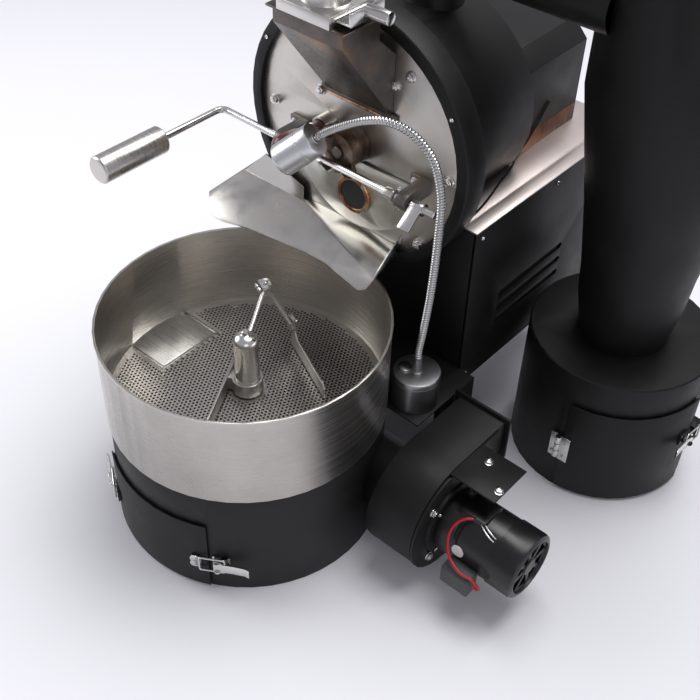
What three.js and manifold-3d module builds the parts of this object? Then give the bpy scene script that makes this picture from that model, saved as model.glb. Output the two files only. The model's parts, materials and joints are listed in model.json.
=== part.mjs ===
// A small drum coffee roaster with a round cooling tray, a cooling blower and a chaff cyclone.
// Millimetres, +Z up. The origin is the middle of the cooling tray's foot, on the floor.
// The roaster's face looks along -Y over the tray, and the blower and cyclone stand on its +X side.

import * as THREE from 'three';
import { mergeVertices } from 'three/addons/utils/BufferGeometryUtils.js';
import Module from 'manifold-3d';

const wasm = await Module();
wasm.setup();

// Clearances and stock that all the pieces share
const gap = 0.3;
const slip = 0.6;
const overrun = 6;
const weld = 0.0001;
const sheet = 2;
const plate = 3;

// Driving sizes: the cooling tray
const trayRadius = 200;
const bandFoot = 189;
const floorRise = 12;
const bowlDepth = 138;
const floorSheet = 2;
const ledgeWidth = 8;
const floorTop = bandFoot + floorRise;
const trayRimTop = floorTop + bowlDepth;
const baseRadius = trayRadius - sheet;
const baseTop = bandFoot - gap;

// Driving sizes: the roaster's body
const cabinetHalfWidth = 190;
const cabinetFoot = 153;
const cabinetTop = 434;
const cabinetLength = 396;
const faceThickness = 6;
const faceRise = 85;
const faceInset = 6;
const ringStandoff = 14;
const ringDepth = 38;
const ringRim = 18;
const ringOverhang = 1;
const jacketInset = 23;
const jacketWall = 4;
const jacketLength = 166;
const drumDrop = 9;
const shaftRadius = 9;
const faceZ = cabinetTop + faceRise;
const drumZ = faceZ - drumDrop;
const ringRadius = cabinetHalfWidth + ringOverhang;
const faceRadius = ringRadius - ringRim;
const jacketRadius = faceRadius - jacketInset;
const ringFront = trayRadius + ringStandoff;
const ringBack = ringFront + ringDepth;
const faceY = ringFront + faceInset;
const jacketBack = ringBack + jacketLength;
const cabinetFront = ringBack + gap;
const cabinetBack = cabinetFront + cabinetLength;

// Driving sizes: the blower
const blowerStandoff = 30;
const blowerY = 85;
const blowerZ = 100;
const scrollWidth = 78;
const ductRadius = 52;
const blowerX = baseRadius + blowerStandoff;

// Driving sizes: the cyclone
const canRadius = 138;
const canHeight = 232;
const canStandoff = 12;
const canSetback = 199;
const cycloneRadius = 124;
const cycloneX = cabinetHalfWidth + canStandoff + canRadius;
const cycloneY = ringBack + canSetback;

// Finishes seen on the machine
const finishes = {
  blackPaint: { color: 0x1b1b1d, roughness: 0.55, metalness: 0.2 },
  blackSatin: { color: 0x101012, roughness: 0.4, metalness: 0.2 },
  brushedSteel: { color: 0xb9b3aa, roughness: 0.35, metalness: 1 },
  polishedSteel: { color: 0xd6d4d0, roughness: 0.18, metalness: 1 },
  aluminium: { color: 0xc4c6c8, roughness: 0.3, metalness: 1 },
  paleSheet: { color: 0xcfc3bd, roughness: 0.4, metalness: 0.6 },
  tintedSteel: { color: 0x5b3419, roughness: 0.45, metalness: 0.8 },
  castIron: { color: 0x4a4643, roughness: 0.5, metalness: 0.9 },
  greyPlastic: { color: 0x3e4043, roughness: 0.6, metalness: 0 },
  redCable: { color: 0xb01526, roughness: 0.5, metalness: 0 },
  cherryWood: { color: 0x5a1a16, roughness: 0.5, metalness: 0 },
  glass: { color: 0x6f7274, roughness: 0.1, metalness: 0 },
};

const machine = new THREE.Group();

function piece(name, geometry, finish, parent = machine) {
  const mesh = new THREE.Mesh(closed(geometry), new THREE.MeshStandardMaterial(finishes[finish]));
  mesh.name = name;
  parent.add(mesh);
  return mesh;
}

// Closed bodies and the cuts and joins made with them

function volumeOf(points, faces) {
  const corner = (i) => new THREE.Vector3().fromArray(points, 3 * i);
  let sum = 0;
  for (let i = 0; i < faces.length; i += 3) {
    sum += corner(faces[i]).dot(corner(faces[i + 1]).cross(corner(faces[i + 2])));
  }
  return sum;
}

// Shares the corners, drops flat faces at the poles and turns the body's faces outwards.
function closed(geometry) {
  const plain = geometry.clone();
  for (const name of Object.keys(plain.attributes)) {
    if (name !== 'position') plain.deleteAttribute(name);
  }
  const merged = mergeVertices(plain, weld);
  const points = merged.attributes.position.array;
  const index = merged.index.array;
  const faces = [];
  for (let i = 0; i < index.length; i += 3) {
    const [a, b, c] = [index[i], index[i + 1], index[i + 2]];
    if (a !== b && b !== c && c !== a) faces.push(a, b, c);
  }
  if (volumeOf(points, faces) < 0) faces.reverse();
  const body = new THREE.BufferGeometry();
  body.setAttribute('position', new THREE.BufferAttribute(points, 3));
  body.setIndex(faces);
  return body;
}

function toSolid(geometry) {
  const body = closed(geometry);
  return new wasm.Manifold(new wasm.Mesh({
    numProp: 3,
    vertProperties: body.attributes.position.array,
    triVerts: new Uint32Array(body.index.array),
  }));
}

function fromSolid(solid) {
  const mesh = solid.getMesh();
  const geometry = new THREE.BufferGeometry();
  geometry.setAttribute('position', new THREE.BufferAttribute(mesh.vertProperties, 3));
  geometry.setIndex(Array.from(mesh.triVerts));
  return geometry;
}

function join(first, ...others) {
  return fromSolid(others.reduce((body, other) => body.add(toSolid(other)), toSolid(first)));
}

function cut(first, ...tools) {
  return fromSolid(tools.reduce((body, tool) => body.subtract(toSolid(tool)), toSolid(first)));
}

function shared(first, other) {
  return fromSolid(toSolid(first).intersect(toSolid(other)));
}

// Stock shapes; each stands on z = 0 and runs up along +Z unless it says otherwise

function round(radius, length, sides = 18) {
  return new THREE.CylinderGeometry(radius, radius, length, sides)
    .rotateX(Math.PI / 2)
    .translate(0, 0, length / 2);
}

function turned(profile, sides = 24) {
  const points = profile.map(([r, z]) => new THREE.Vector2(r, z));
  return new THREE.LatheGeometry(points, sides).rotateX(Math.PI / 2);
}

function pipe(outer, inner, length, sides = 24) {
  return turned([[inner, 0], [outer, 0], [outer, length], [inner, length], [inner, 0]], sides);
}

function block(xLow, xHigh, yLow, yHigh, zLow, zHigh) {
  return new THREE.BoxGeometry(xHigh - xLow, yHigh - yLow, zHigh - zLow)
    .translate((xLow + xHigh) / 2, (yLow + yHigh) / 2, (zLow + zHigh) / 2);
}

function outline(points) {
  return new THREE.Shape(points.map(([x, y]) => new THREE.Vector2(x, y)));
}

function prism(points, height) {
  return new THREE.ExtrudeGeometry(outline(points), { depth: height, bevelEnabled: false });
}

// A prism whose outline is drawn in the XZ plane and which runs from yLow to yHigh.
function sidePrism(points, yLow, yHigh) {
  return prism(points.map(([x, z]) => [x, -z]), yHigh - yLow).rotateX(-Math.PI / 2).translate(0, yLow, 0);
}

// A prism whose outline is drawn in the YZ plane and which runs from xLow to xHigh.
function crossPrism(points, xLow, xHigh) {
  return prism(points, xHigh - xLow).rotateX(Math.PI / 2).rotateZ(Math.PI / 2).translate(xLow, 0, 0);
}

const alongX = (geometry) => geometry.rotateY(Math.PI / 2);
const alongY = (geometry) => geometry.rotateX(-Math.PI / 2);
const radians = THREE.MathUtils.degToRad;
const degrees = THREE.MathUtils.radToDeg;

function arc(radius, from, to, steps) {
  const points = [];
  for (let i = 0; i <= steps; i += 1) {
    const angle = radians(from + (to - from) * i / steps);
    points.push([radius * Math.cos(angle), radius * Math.sin(angle)]);
  }
  return points;
}

// Part of a ring, between two angles in degrees.
function sector(inner, outer, from, to, low, high, steps = 13) {
  const points = [...arc(outer, from, to, steps), ...arc(inner, to, from, steps)];
  return prism(points, high - low).translate(0, 0, low);
}

// A round bar between two points.
function strut(start, end, radius, sides = 10) {
  const from = new THREE.Vector3(...start);
  const to = new THREE.Vector3(...end);
  const turn = new THREE.Quaternion().setFromUnitVectors(
    new THREE.Vector3(0, 0, 1), to.clone().sub(from).normalize());
  return round(radius, from.distanceTo(to), sides).applyQuaternion(turn).translate(...start);
}

function rodAlong(path, radius, sides, steps) {
  const section = outline(arc(radius, 0, 360 - 360 / sides, sides - 1));
  return new THREE.ExtrudeGeometry(section, { steps, bevelEnabled: false, extrudePath: path });
}

// Draw latches: a lever, a wire bail hooked behind a tab, and the ears that carry the lever.
// They are drawn with X towards the tab, Y out of the surface and Z along the hinge.
const latch = {
  pivotHeight: 10, crank: 10, overCentre: 1.5, bailLength: 36, wire: 1.5, bailHalfWidth: 13,
  leverHalfWidth: 8, leverLength: 46, leverBack: 12.5, leverBelly: 5.5, pin: 2, nose: 5,
  earWall: 1.8, earHalfWidth: 5.5, footLength: 16, footSheet: 1.5, sink: 1, tabSheet: 1.8, tabHalfWidth: 9,
  tabTop: 6.4, keeperNear: 16, keeperFar: 38, keeperTop: 4.6, trayDepth: -0.5, tipRise: 3.5,
  footFar: 9,
};
const leverShares = { waist: 0.4, middle: 0.5, tail: 0.85, tip: 0.98 };
const tipShares = { low: -0.6, back: 0.3, end: 0.4 };

function latchLever() {
  const { leverHalfWidth, leverLength, leverBack, leverBelly, nose, crank, tipRise, footLength } = latch;
  const { waist, middle, tail, tip } = leverShares;
  const side = [
    [nose, leverBelly], [nose, leverBack], [-leverLength * middle, leverBack],
    [-leverLength * tail, leverBack + tipRise * tipShares.back], [-leverLength, leverBack + tipRise],
    [-leverLength * tip, leverBack + tipRise * tipShares.end],
    [-leverLength * tail, leverBack + tipRise * tipShares.low],
    [-leverLength * waist, leverBelly + tipRise], [-footLength, leverBelly],
  ];
  const body = prism(side, 2 * leverHalfWidth).translate(0, 0, -leverHalfWidth);
  const reach = leverHalfWidth + gap + latch.earWall;
  const pin = round(latch.pin, 2 * reach, 10).translate(0, latch.pivotHeight, -reach);
  const bailBore = round(latch.wire + gap, 2 * leverHalfWidth + 2 * overrun, 8)
    .translate(-crank, latch.pivotHeight - latch.overCentre, -leverHalfWidth - overrun);
  return cut(join(body, pin), bailBore);
}

function latchBail() {
  const { bailHalfWidth, wire, crank, bailLength } = latch;
  const height = latch.pivotHeight - latch.overCentre;
  const far = bailLength - crank;
  const corners = [
    [-crank, height, -bailHalfWidth], [far, height, -bailHalfWidth],
    [far, height, bailHalfWidth], [-crank, height, bailHalfWidth],
  ];
  const wires = corners.map((corner, i) => strut(corner, corners[(i + 1) % corners.length], wire, 6));
  const knees = corners.map((corner) => new THREE.OctahedronGeometry(wire).translate(...corner));
  return join(...wires, ...knees);
}

// The ears that carry a lever, on a foot whose underside stands at the given height.
function latchEars(low) {
  const { earHalfWidth, leverHalfWidth, earWall, pivotHeight, footLength, footFar, footSheet, pin } = latch;
  const inside = leverHalfWidth + gap;
  const ear = [inside, -inside - earWall].map((side) => join(
    block(-earHalfWidth, earHalfWidth, low, pivotHeight, side, side + earWall),
    round(earHalfWidth, earWall, 12).translate(0, pivotHeight, side)));
  const foot = block(-footLength, footFar, low, footSheet, -inside - earWall, inside + earWall);
  const bore = round(pin + gap, 2 * (inside + earWall + overrun), 10)
    .translate(0, pivotHeight, -inside - earWall - overrun);
  return cut(join(foot, ...ear), bore);
}

// The tab that the bail hooks behind, on a foot that reaches down by the given depth.
function latchKeeper(depth) {
  const { keeperNear, keeperFar, keeperTop, tabHalfWidth, tabSheet, tabTop } = latch;
  const tabFar = latch.bailLength - latch.crank - latch.wire - gap;
  return join(
    block(keeperNear, keeperFar, -depth, keeperTop, -tabHalfWidth, tabHalfWidth),
    block(tabFar - tabSheet, tabFar, -depth, tabTop, -tabHalfWidth, tabHalfWidth));
}

// Puts a latch piece on a cylinder of the given radius; side -1 turns its tab anticlockwise.
function onCylinder(geometry, radius, angle, height, side) {
  return geometry.scale(side, 1, 1).rotateZ(radians(angle - 90))
    .translate(radius * Math.cos(radians(angle)), radius * Math.sin(radians(angle)), height);
}

// A curved cover with its gasket, over an opening in a cylinder of the given radius.
function curvedCover(radius, door) {
  const { fromAngle: from, toAngle: to, low, high, gasket, gasketInset, rebate } = door;
  const insetAngle = degrees(gasketInset / radius);
  const rebateAngle = degrees((gasketInset + rebate) / radius);
  const seal = cut(
    sector(radius + gap, radius + gasket + gap, from + insetAngle, to - insetAngle,
      low + gasketInset, high - gasketInset),
    sector(radius - overrun, radius + overrun, from + rebateAngle, to - rebateAngle,
      low + gasketInset + rebate, high - gasketInset - rebate));
  return join(sector(radius + gasket, radius + gasket + sheet, from, to, low, high), seal);
}

// Where the curved cover's opening is cut through the wall behind it.
function coverOpening(radius, door) {
  const inset = door.gasketInset + door.rebate + door.land;
  const angle = degrees(inset / radius);
  return sector(radius - 2 * overrun, radius + overrun, door.fromAngle + angle, door.toAngle - angle,
    door.low + inset, door.high - inset);
}

// Cooling tray

const trayDoor = {
  fromAngle: -121, toAngle: -62, low: 4, high: 132, gasket: 2.2, gasketInset: 2, rebate: 6, land: 4,
  latchHeight: 58, latchAngle: 4,
};
const gate = { inner: 123, halfWidth: 50, tab: 14, tabHalfWidth: 30, lip: 9, notch: 0.9 };
const spout = { inset: 16, drop: 14, reach: 22, lowDrop: 101, mouth: 52, knee: 7 };
const floorTip = { fall: 1.4, drop: 0.4, mouth: 2.8 };
const stirrer = {
  shaftRadius: 6, shaftDrop: 51, postRadius: 18, shoulderRise: 93, crown: 12, bladeLift: 2,
};

function trayLatchPlaces() {
  return [
    { name: 'right', angle: trayDoor.toAngle + trayDoor.latchAngle, side: 1 },
    { name: 'left', angle: trayDoor.fromAngle - trayDoor.latchAngle, side: -1 },
  ];
}

// The spout's side view, from the gate's opening down to its mouth; inset draws its inside.
function spoutSide(inset) {
  const top = floorTop - floorSheet - gap;
  const beyond = inset ? overrun : 0;
  const low = bandFoot - spout.lowDrop + inset * floorTip.fall;
  const roof = low + spout.mouth - inset * floorTip.mouth;
  const mouthX = -trayRadius - spout.reach + sheet;
  const outerX = -baseRadius + spout.inset;
  return [
    [-gate.inner - inset, top + beyond],
    [-gate.inner - inset, top - spout.drop + inset * floorTip.drop],
    [mouthX - beyond, low - beyond],
    [mouthX - beyond, roof],
    [outerX + inset, roof + outerX - mouthX - spout.knee],
    [outerX + inset, top + beyond],
  ];
}

const baseSize = { flange: 28, barHalfWidth: 16, hubRadius: 46 };

function trayBase() {
  const { flange, barHalfWidth, hubRadius } = baseSize;
  const wall = plate;
  const shell = turned([
    [0, 0], [baseRadius, 0], [baseRadius, baseTop], [baseRadius - flange, baseTop],
    [baseRadius - flange, baseTop - wall], [baseRadius - wall, baseTop - wall],
    [baseRadius - wall, wall], [0, wall],
  ], 48);
  const bar = block(-barHalfWidth, barHalfWidth, wall - baseRadius, baseRadius - wall,
    baseTop - wall, baseTop);
  const hub = round(hubRadius, wall).translate(0, 0, baseTop - wall);
  const shaftHole = round(stirrer.shaftRadius + slip, baseTop, 12).translate(0, 0, baseTop / 2);
  const ductHole = alongX(round(ductRadius + gap, baseRadius, 24)).translate(0, blowerY, blowerZ);
  const spoutHole = sidePrism(spoutSide(-gap), -gate.halfWidth - gap, gate.halfWidth + gap);
  return cut(join(shell, bar, hub), coverOpening(baseRadius, trayDoor), shaftHole, ductHole, spoutHole);
}

function trayCover() {
  const keepers = trayLatchPlaces().map(({ angle, side }) =>
    onCylinder(latchKeeper(latch.trayDepth), baseRadius, angle, trayDoor.latchHeight, side));
  return join(curvedCover(baseRadius, trayDoor), ...keepers);
}

const hem = { width: 1.2, height: 3 };

function trayBand() {
  const inside = trayRadius - sheet;
  const ledgeTop = floorTop - floorSheet - gap;
  const profile = [
    [trayRadius, bandFoot], [trayRadius, trayRimTop - hem.height],
    [trayRadius + hem.width, trayRimTop - hem.height],
    [trayRadius + hem.width, trayRimTop], [inside, trayRimTop], [inside, ledgeTop],
    [inside - ledgeWidth, ledgeTop], [inside - ledgeWidth, ledgeTop - sheet],
    [inside, ledgeTop - sheet], [inside, bandFoot], [trayRadius, bandFoot],
  ];
  const slot = block(-trayRadius - overrun, -inside * Math.cos(Math.asin(gate.halfWidth / inside)) + gap,
    -gate.halfWidth - slip, gate.halfWidth + slip, ledgeTop + gap / 2, floorTop + slip);
  return cut(turned(profile, 48), slot);
}

const floorHoles = { radius: 9, pitch: 46, land: 9 };

// The floor's holes stand in staggered rows, clear of the gate, the post and the rim.
function trayFloor() {
  const radius = trayRadius - sheet - gap;
  const rowStep = floorHoles.pitch * Math.sqrt(3) / 2;
  const rows = Math.floor(radius / rowStep);
  const tools = [];
  for (let row = -rows; row <= rows; row += 1) {
    const shift = row % 2 === 0 ? 0 : floorHoles.pitch / 2;
    for (let column = -rows - 1; column <= rows + 1; column += 1) {
      const x = column * floorHoles.pitch + shift;
      const y = row * rowStep;
      const distance = Math.hypot(x, y);
      const insideRim = distance < radius - ledgeWidth - floorHoles.land;
      const clearOfPost = distance > stirrer.postRadius + floorHoles.land;
      const clearOfGate = x > -gate.inner + floorHoles.land || Math.abs(y) > gate.halfWidth + floorHoles.land;
      if (insideRim && clearOfPost && clearOfGate) {
        tools.push(round(floorHoles.radius, 2 * overrun, 6).translate(x, y, floorTop - overrun));
      }
    }
  }
  const disc = round(radius, floorSheet, 48).translate(0, 0, floorTop - floorSheet);
  const gateHole = block(-trayRadius, -gate.inner + gap, -gate.halfWidth - gap, gate.halfWidth + gap,
    floorTop - overrun, floorTop + overrun);
  const shaftHole = round(stirrer.shaftRadius + slip, 2 * overrun, 12).translate(0, 0, floorTop - overrun);
  return cut(disc, gateHole, shaftHole, ...tools);
}

// The solid plate in the floor; it slides out along -X and lets the beans down the spout.
function trayGate() {
  const body = block(-trayRadius - gate.tab, -gate.inner, -gate.halfWidth, gate.halfWidth,
    floorTop - floorSheet, floorTop);
  const corners = [-gate.halfWidth - overrun, gate.tabHalfWidth].map((low) => block(
    -trayRadius - gate.tab - overrun, -trayRadius - gate.notch,
    low, low + gate.halfWidth + overrun - gate.tabHalfWidth, floorTop - overrun, floorTop + overrun));
  const lip = block(-trayRadius - gate.tab, -trayRadius - gate.tab + sheet, -gate.tabHalfWidth,
    gate.tabHalfWidth, floorTop - gate.lip, floorTop);
  return join(cut(body, ...corners), lip);
}

function traySpout() {
  const inside = gate.halfWidth - sheet;
  return cut(sidePrism(spoutSide(0), -gate.halfWidth, gate.halfWidth),
    sidePrism(spoutSide(sheet), -inside, inside));
}

const shaftFoot = floorTop - stirrer.shaftDrop;

const stirrerDrive = {
  flangeRadius: 44, flange: 6, radius: 36, length: 62, motorRadius: 28, motorLength: 34, chamfer: 3,
};

function stirrerGearmotor() {
  const size = stirrerDrive;
  const top = baseTop - plate - gap;
  const foot = top - size.flange - size.length - size.motorLength;
  const profile = [
    [0, foot], [size.motorRadius - size.chamfer, foot], [size.motorRadius, foot + size.chamfer],
    [size.motorRadius, foot + size.motorLength], [size.radius, foot + size.motorLength],
    [size.radius, top - size.flange], [size.flangeRadius, top - size.flange], [size.flangeRadius, top],
    [0, top],
  ];
  const bore = round(stirrer.shaftRadius + gap, baseTop, 12).translate(0, 0, shaftFoot - gap);
  return cut(turned(profile, 20), bore);
}

// Places on the stirrer, seen from above, with heights above the floor
const arm = {
  root: [1, 3, 96], clamp: [-40, 80, 117], bracketHeight: 50, rod: 3.6, link: 3, linkSpread: 7,
  clampBlock: [20, 15, 15], bracketBlock: [18, 8, 14],
};
const outerBlade = {
  inner: [-20, 112], outer: [94, 58], height: 25, sheet: 3, neck: 15, neckTop: 58, nip: 8,
};
const innerBlade = {
  inner: [-42, 20], outer: [30, -113], height: 25, sheet: 3, collar: 4, collarHeight: 22, lug: 9, nip: 8,
};

const overFloor = ([x, y, z]) => [x, y, floorTop + z];

const postNut = { radius: 5, height: 5 };

function stirrerPost() {
  const { shaftRadius: shaft, postRadius, shoulderRise, crown, bladeLift } = stirrer;
  const domeAngles = [15, 35, 55, 72];
  const foot = floorTop + bladeLift;
  const shoulder = floorTop + shoulderRise;
  const top = shoulder + crown;
  const dome = domeAngles.map((angle) => [
    postRadius * Math.cos(radians(angle)), shoulder + crown * Math.sin(radians(angle))]);
  const profile = [
    [0, shaftFoot], [shaft, shaftFoot], [shaft, foot], [postRadius, foot], [postRadius, shoulder],
    ...dome, [postNut.radius, top], [postNut.radius, top + postNut.height], [0, top + postNut.height],
  ];
  const socket = strut(overFloor(arm.root), overFloor(arm.clamp), arm.rod + gap);
  return cut(turned(profile, 20), socket);
}

function turnedBlock([x, y, z], centre, angle) {
  return new THREE.BoxGeometry(x, y, z).rotateZ(angle).translate(...centre);
}

// The bracket stands against the inner side of the outer blade's neck.
function stirrerArm() {
  const clamp = overFloor(arm.clamp);
  const [x0, y0] = outerBlade.inner;
  const heading = Math.atan2(outerBlade.outer[1] - y0, outerBlade.outer[0] - x0);
  const aside = arm.bracketBlock[1] / 2 + gap + outerBlade.sheet / 2;
  const along = outerBlade.neck / 2;
  const bracket = overFloor([
    x0 + along * Math.cos(heading) + aside * Math.sin(heading),
    y0 + along * Math.sin(heading) - aside * Math.cos(heading), arm.bracketHeight]);
  const across = [Math.cos(heading) * arm.linkSpread, Math.sin(heading) * arm.linkSpread];
  const links = [-1, 1].map((side) => strut(
    [clamp[0] + side * across[0], clamp[1] + side * across[1], clamp[2]],
    [bracket[0] + side * across[0], bracket[1] + side * across[1], bracket[2]], arm.link, 8));
  return join(
    strut(overFloor(arm.root), clamp, arm.rod),
    turnedBlock(arm.clampBlock, clamp, heading),
    turnedBlock(arm.bracketBlock, bracket, heading),
    ...links);
}

// A blade's own frame runs along its foot from its inner end, on a line seen from above.
function onBlade(geometry, blade) {
  const [x0, y0] = blade.inner;
  const [x1, y1] = blade.outer;
  return geometry.rotateZ(Math.atan2(y1 - y0, x1 - x0)).translate(x0, y0, 0);
}

function bladeSheet(points, blade) {
  const upright = prism(points, blade.sheet).rotateX(Math.PI / 2);
  return onBlade(upright.translate(0, blade.sheet / 2, floorTop + stirrer.bladeLift), blade);
}

function bladeLength(blade) {
  return Math.hypot(blade.outer[0] - blade.inner[0], blade.outer[1] - blade.inner[1]);
}

function stirrerOuterBlade() {
  const { height, neck, neckTop, nip } = outerBlade;
  const length = bladeLength(outerBlade);
  const side = [
    [0, 0], [length, 0], [length, height - nip], [length - nip, height], [neck + nip, height],
    [neck, height + nip], [neck, neckTop], [0, neckTop],
  ];
  return bladeSheet(side, outerBlade);
}

function stirrerInnerBlade() {
  const { height, collar, collarHeight, nip, lug, inner, outer } = innerBlade;
  const length = bladeLength(innerBlade);
  const blade = bladeSheet([
    [nip, 0], [length, 0], [length, height - nip], [length - nip, height], [nip, height],
    [0, height - nip], [0, nip],
  ], innerBlade);
  const foot = floorTop + stirrer.bladeLift + gap;
  const ring = pipe(stirrer.postRadius + gap + collar, stirrer.postRadius + gap, collarHeight - gap, 20)
    .translate(0, 0, foot);
  const along = -(inner[0] * (outer[0] - inner[0]) + inner[1] * (outer[1] - inner[1])) / length;
  const bridge = onBlade(block(along - lug, along + lug, 0, lug, foot, foot + collarHeight - gap),
    innerBlade);
  const bore = round(stirrer.postRadius + gap, 2 * height, 20).translate(0, 0, floorTop);
  return cut(join(blade, ring, bridge), bore);
}

function buildTray() {
  piece('tray_base', trayBase(), 'blackPaint');
  piece('tray_cover', trayCover(), 'blackPaint');
  piece('tray_band', trayBand(), 'brushedSteel');
  piece('tray_floor', trayFloor(), 'brushedSteel');
  piece('tray_gate', trayGate(), 'brushedSteel');
  piece('tray_spout', traySpout(), 'brushedSteel');
  piece('stirrer_gearmotor', stirrerGearmotor(), 'blackPaint');
  piece('stirrer_post', stirrerPost(), 'polishedSteel');
  piece('stirrer_arm', stirrerArm(), 'polishedSteel');
  piece('stirrer_blade_outer', stirrerOuterBlade(), 'brushedSteel');
  piece('stirrer_blade_inner', stirrerInnerBlade(), 'brushedSteel');
  for (const { name, angle, side } of trayLatchPlaces()) {
    const place = (geometry) => onCylinder(geometry, baseRadius, angle, trayDoor.latchHeight, side);
    piece(`tray_latch_ears_${name}`, place(latchEars(gap)), 'polishedSteel');
    piece(`tray_latch_lever_${name}`, place(latchLever()), 'polishedSteel');
    piece(`tray_latch_bail_${name}`, place(latchBail()), 'polishedSteel');
  }
}

// Cooling blower; its group stands on the fan's axis, which runs along X

const blower = new THREE.Group();
blower.position.set(blowerX, blowerY, blowerZ);
machine.add(blower);

const scroll = { start: 76, end: 92, outletFloor: 36, outletEnd: 120, wall: 2.5, flange: 9, flangeSheet: 4 };
const endPlate = { radius: 87, thickness: 4, bossRadius: 58, boss: 5, opening: 68 };
const motor = { radius: 48.5, length: 88, shaftRadius: 6, shaftReach: 24, rib: 1.2, shoulder: 6, cover: 42 };
const ribShares = { start: 0.3, in: 0.32, out: 0.4, end: 0.42 };
const ductInset = 56;
const wheel = { radius: 62, eye: 50, disc: 2.5, ring: 2.5, blades: 12, bladeDepth: 10, width: 52, hub: 16 };

// The scroll's outline in the YZ plane: a spiral that opens clockwise into the outlet at its top.
function scrollOutline(inset) {
  const floor = scroll.outletFloor + inset;
  const first = degrees(Math.asin(floor / (scroll.start - inset)));
  const last = -270;
  const steps = 30;
  const points = [];
  for (let i = 0; i <= steps; i += 1) {
    const share = i / steps;
    const angle = radians(first + (last - first) * share);
    const radius = scroll.start + (scroll.end - scroll.start) * share - inset;
    points.push([radius * Math.cos(angle), radius * Math.sin(angle)]);
  }
  const end = scroll.outletEnd + (inset > 0 ? overrun : 0);
  return [...points, [end, scroll.end - inset], [end, floor]];
}

// The scroll with its outlet's flange and the inlet duct that reaches into the tray's base.
function blowerHousing() {
  const { wall, flange, flangeSheet, outletFloor, outletEnd, end } = scroll;
  const body = crossPrism(scrollOutline(0), 0, scrollWidth);
  const reach = blowerX - baseRadius + ductInset;
  const duct = alongX(pipe(ductRadius, ductRadius - sheet, reach + wall / 2, 24)).translate(-reach, 0, 0);
  const rim = block(-flange, scrollWidth + flange, outletEnd - flangeSheet, outletEnd,
    outletFloor - flange, end + flange);
  const cavity = crossPrism(scrollOutline(wall), wall, scrollWidth - wall);
  const eye = alongX(round(ductRadius - sheet, 2 * overrun, 24)).translate(-overrun, 0, 0);
  const front = alongX(round(endPlate.opening, 2 * overrun, 20)).translate(scrollWidth - overrun, 0, 0);
  return cut(join(body, rim, duct), cavity, eye, front);
}

function blowerEndPlate() {
  const { radius, thickness, bossRadius, boss } = endPlate;
  const bore = motor.shaftRadius + slip;
  const profile = [
    [bore, 0], [radius, 0], [radius, thickness], [bossRadius, thickness],
    [bossRadius, thickness + boss], [bore, thickness + boss], [bore, 0],
  ];
  return alongX(turned(profile, 28)).translate(scrollWidth + gap, 0, 0);
}

const motorFront = scrollWidth + gap + endPlate.thickness + endPlate.boss + gap;

// A cage of blades between a back disc and a front ring, on the shaft that runs into the motor.
function blowerImpeller() {
  const { radius, eye, disc, ring, blades, bladeDepth, width, hub } = wheel;
  const back = scrollWidth - 2 * scroll.wall - slip;
  const front = back - width;
  const parts = [
    alongX(round(radius, disc, 20)).translate(back - disc, 0, 0),
    alongX(pipe(radius, eye, ring, 20)).translate(front, 0, 0),
    alongX(round(hub, width / 2, 12)).translate(back - width / 2, 0, 0),
    alongX(round(motor.shaftRadius, motorFront + motor.shaftReach - back, 10)).translate(back, 0, 0),
  ];
  for (let i = 0; i < blades; i += 1) {
    const vane = block(front, back, -disc / 2, disc / 2, radius - bladeDepth - disc, radius - disc / 2);
    parts.push(vane.rotateX(2 * Math.PI * i / blades));
  }
  return join(...parts);
}

const terminals = { start: 22, halfWidth: 20, height: 5, length: 40 };

function blowerMotor() {
  const { radius, length, shaftRadius: shaft, shaftReach, rib } = motor;
  const profile = [
    [0, 0], [radius - rib, 0], [radius, motor.shoulder],
    [radius, length * ribShares.start], [radius - rib, length * ribShares.in],
    [radius - rib, length * ribShares.out], [radius, length * ribShares.end], [radius, length], [0, length],
  ];
  const bore = alongX(round(shaft + slip, shaftReach + slip + overrun, 10)).translate(-overrun, 0, 0);
  const box = block(terminals.start, terminals.start + terminals.length, -terminals.halfWidth,
    terminals.halfWidth, radius - terminals.height, radius + terminals.height);
  return cut(join(alongX(turned(profile, 26)), box), bore).translate(motorFront, 0, 0);
}

const fanCover = {
  wall: 2, round: 6, cornerCut: 1.8, slots: 8, slotInner: 14, slotOuter: 38, slotHalfWidth: 2.6, rim: 1.5,
};

function motorFanCover() {
  const { radius, cover: depth } = motor;
  const size = fanCover;
  const outer = radius + size.rim;
  const profile = [
    [outer - size.wall, 0], [outer, 0], [outer, depth - size.round],
    [outer - size.cornerCut, depth - size.cornerCut], [outer - size.round, depth], [0, depth],
    [0, depth - size.wall], [outer - size.round, depth - size.wall], [outer - size.wall, depth - size.round],
    [outer - size.wall, 0],
  ];
  const slots = [];
  for (let i = 0; i < size.slots; i += 1) {
    slots.push(block(depth - size.wall - overrun, depth + overrun, -size.slotHalfWidth, size.slotHalfWidth,
      size.slotInner, size.slotOuter).rotateX(2 * Math.PI * i / size.slots));
  }
  return cut(alongX(turned(profile, 26)), ...slots).translate(motorFront + motor.length + gap, 0, 0);
}

const capacitor = { x: 34, length: 44, depth: 24, height: 34, drop: 44, corner: 3 };

function motorCapacitor() {
  const { length, depth, height, drop, corner } = capacitor;
  const outer = -Math.sqrt(motor.radius ** 2 - (drop - height) ** 2);
  const section = [
    [outer - depth + corner, -drop], [outer, -drop], [outer, height - drop],
    [outer - depth + corner, height - drop], [outer - depth, height - drop - corner],
    [outer - depth, corner - drop],
  ];
  const start = motorFront + capacitor.x;
  const body = crossPrism(section, start, start + length);
  const seat = alongX(round(motor.radius + gap, motor.length, 26)).translate(motorFront, 0, 0);
  return cut(body, seat);
}

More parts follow.
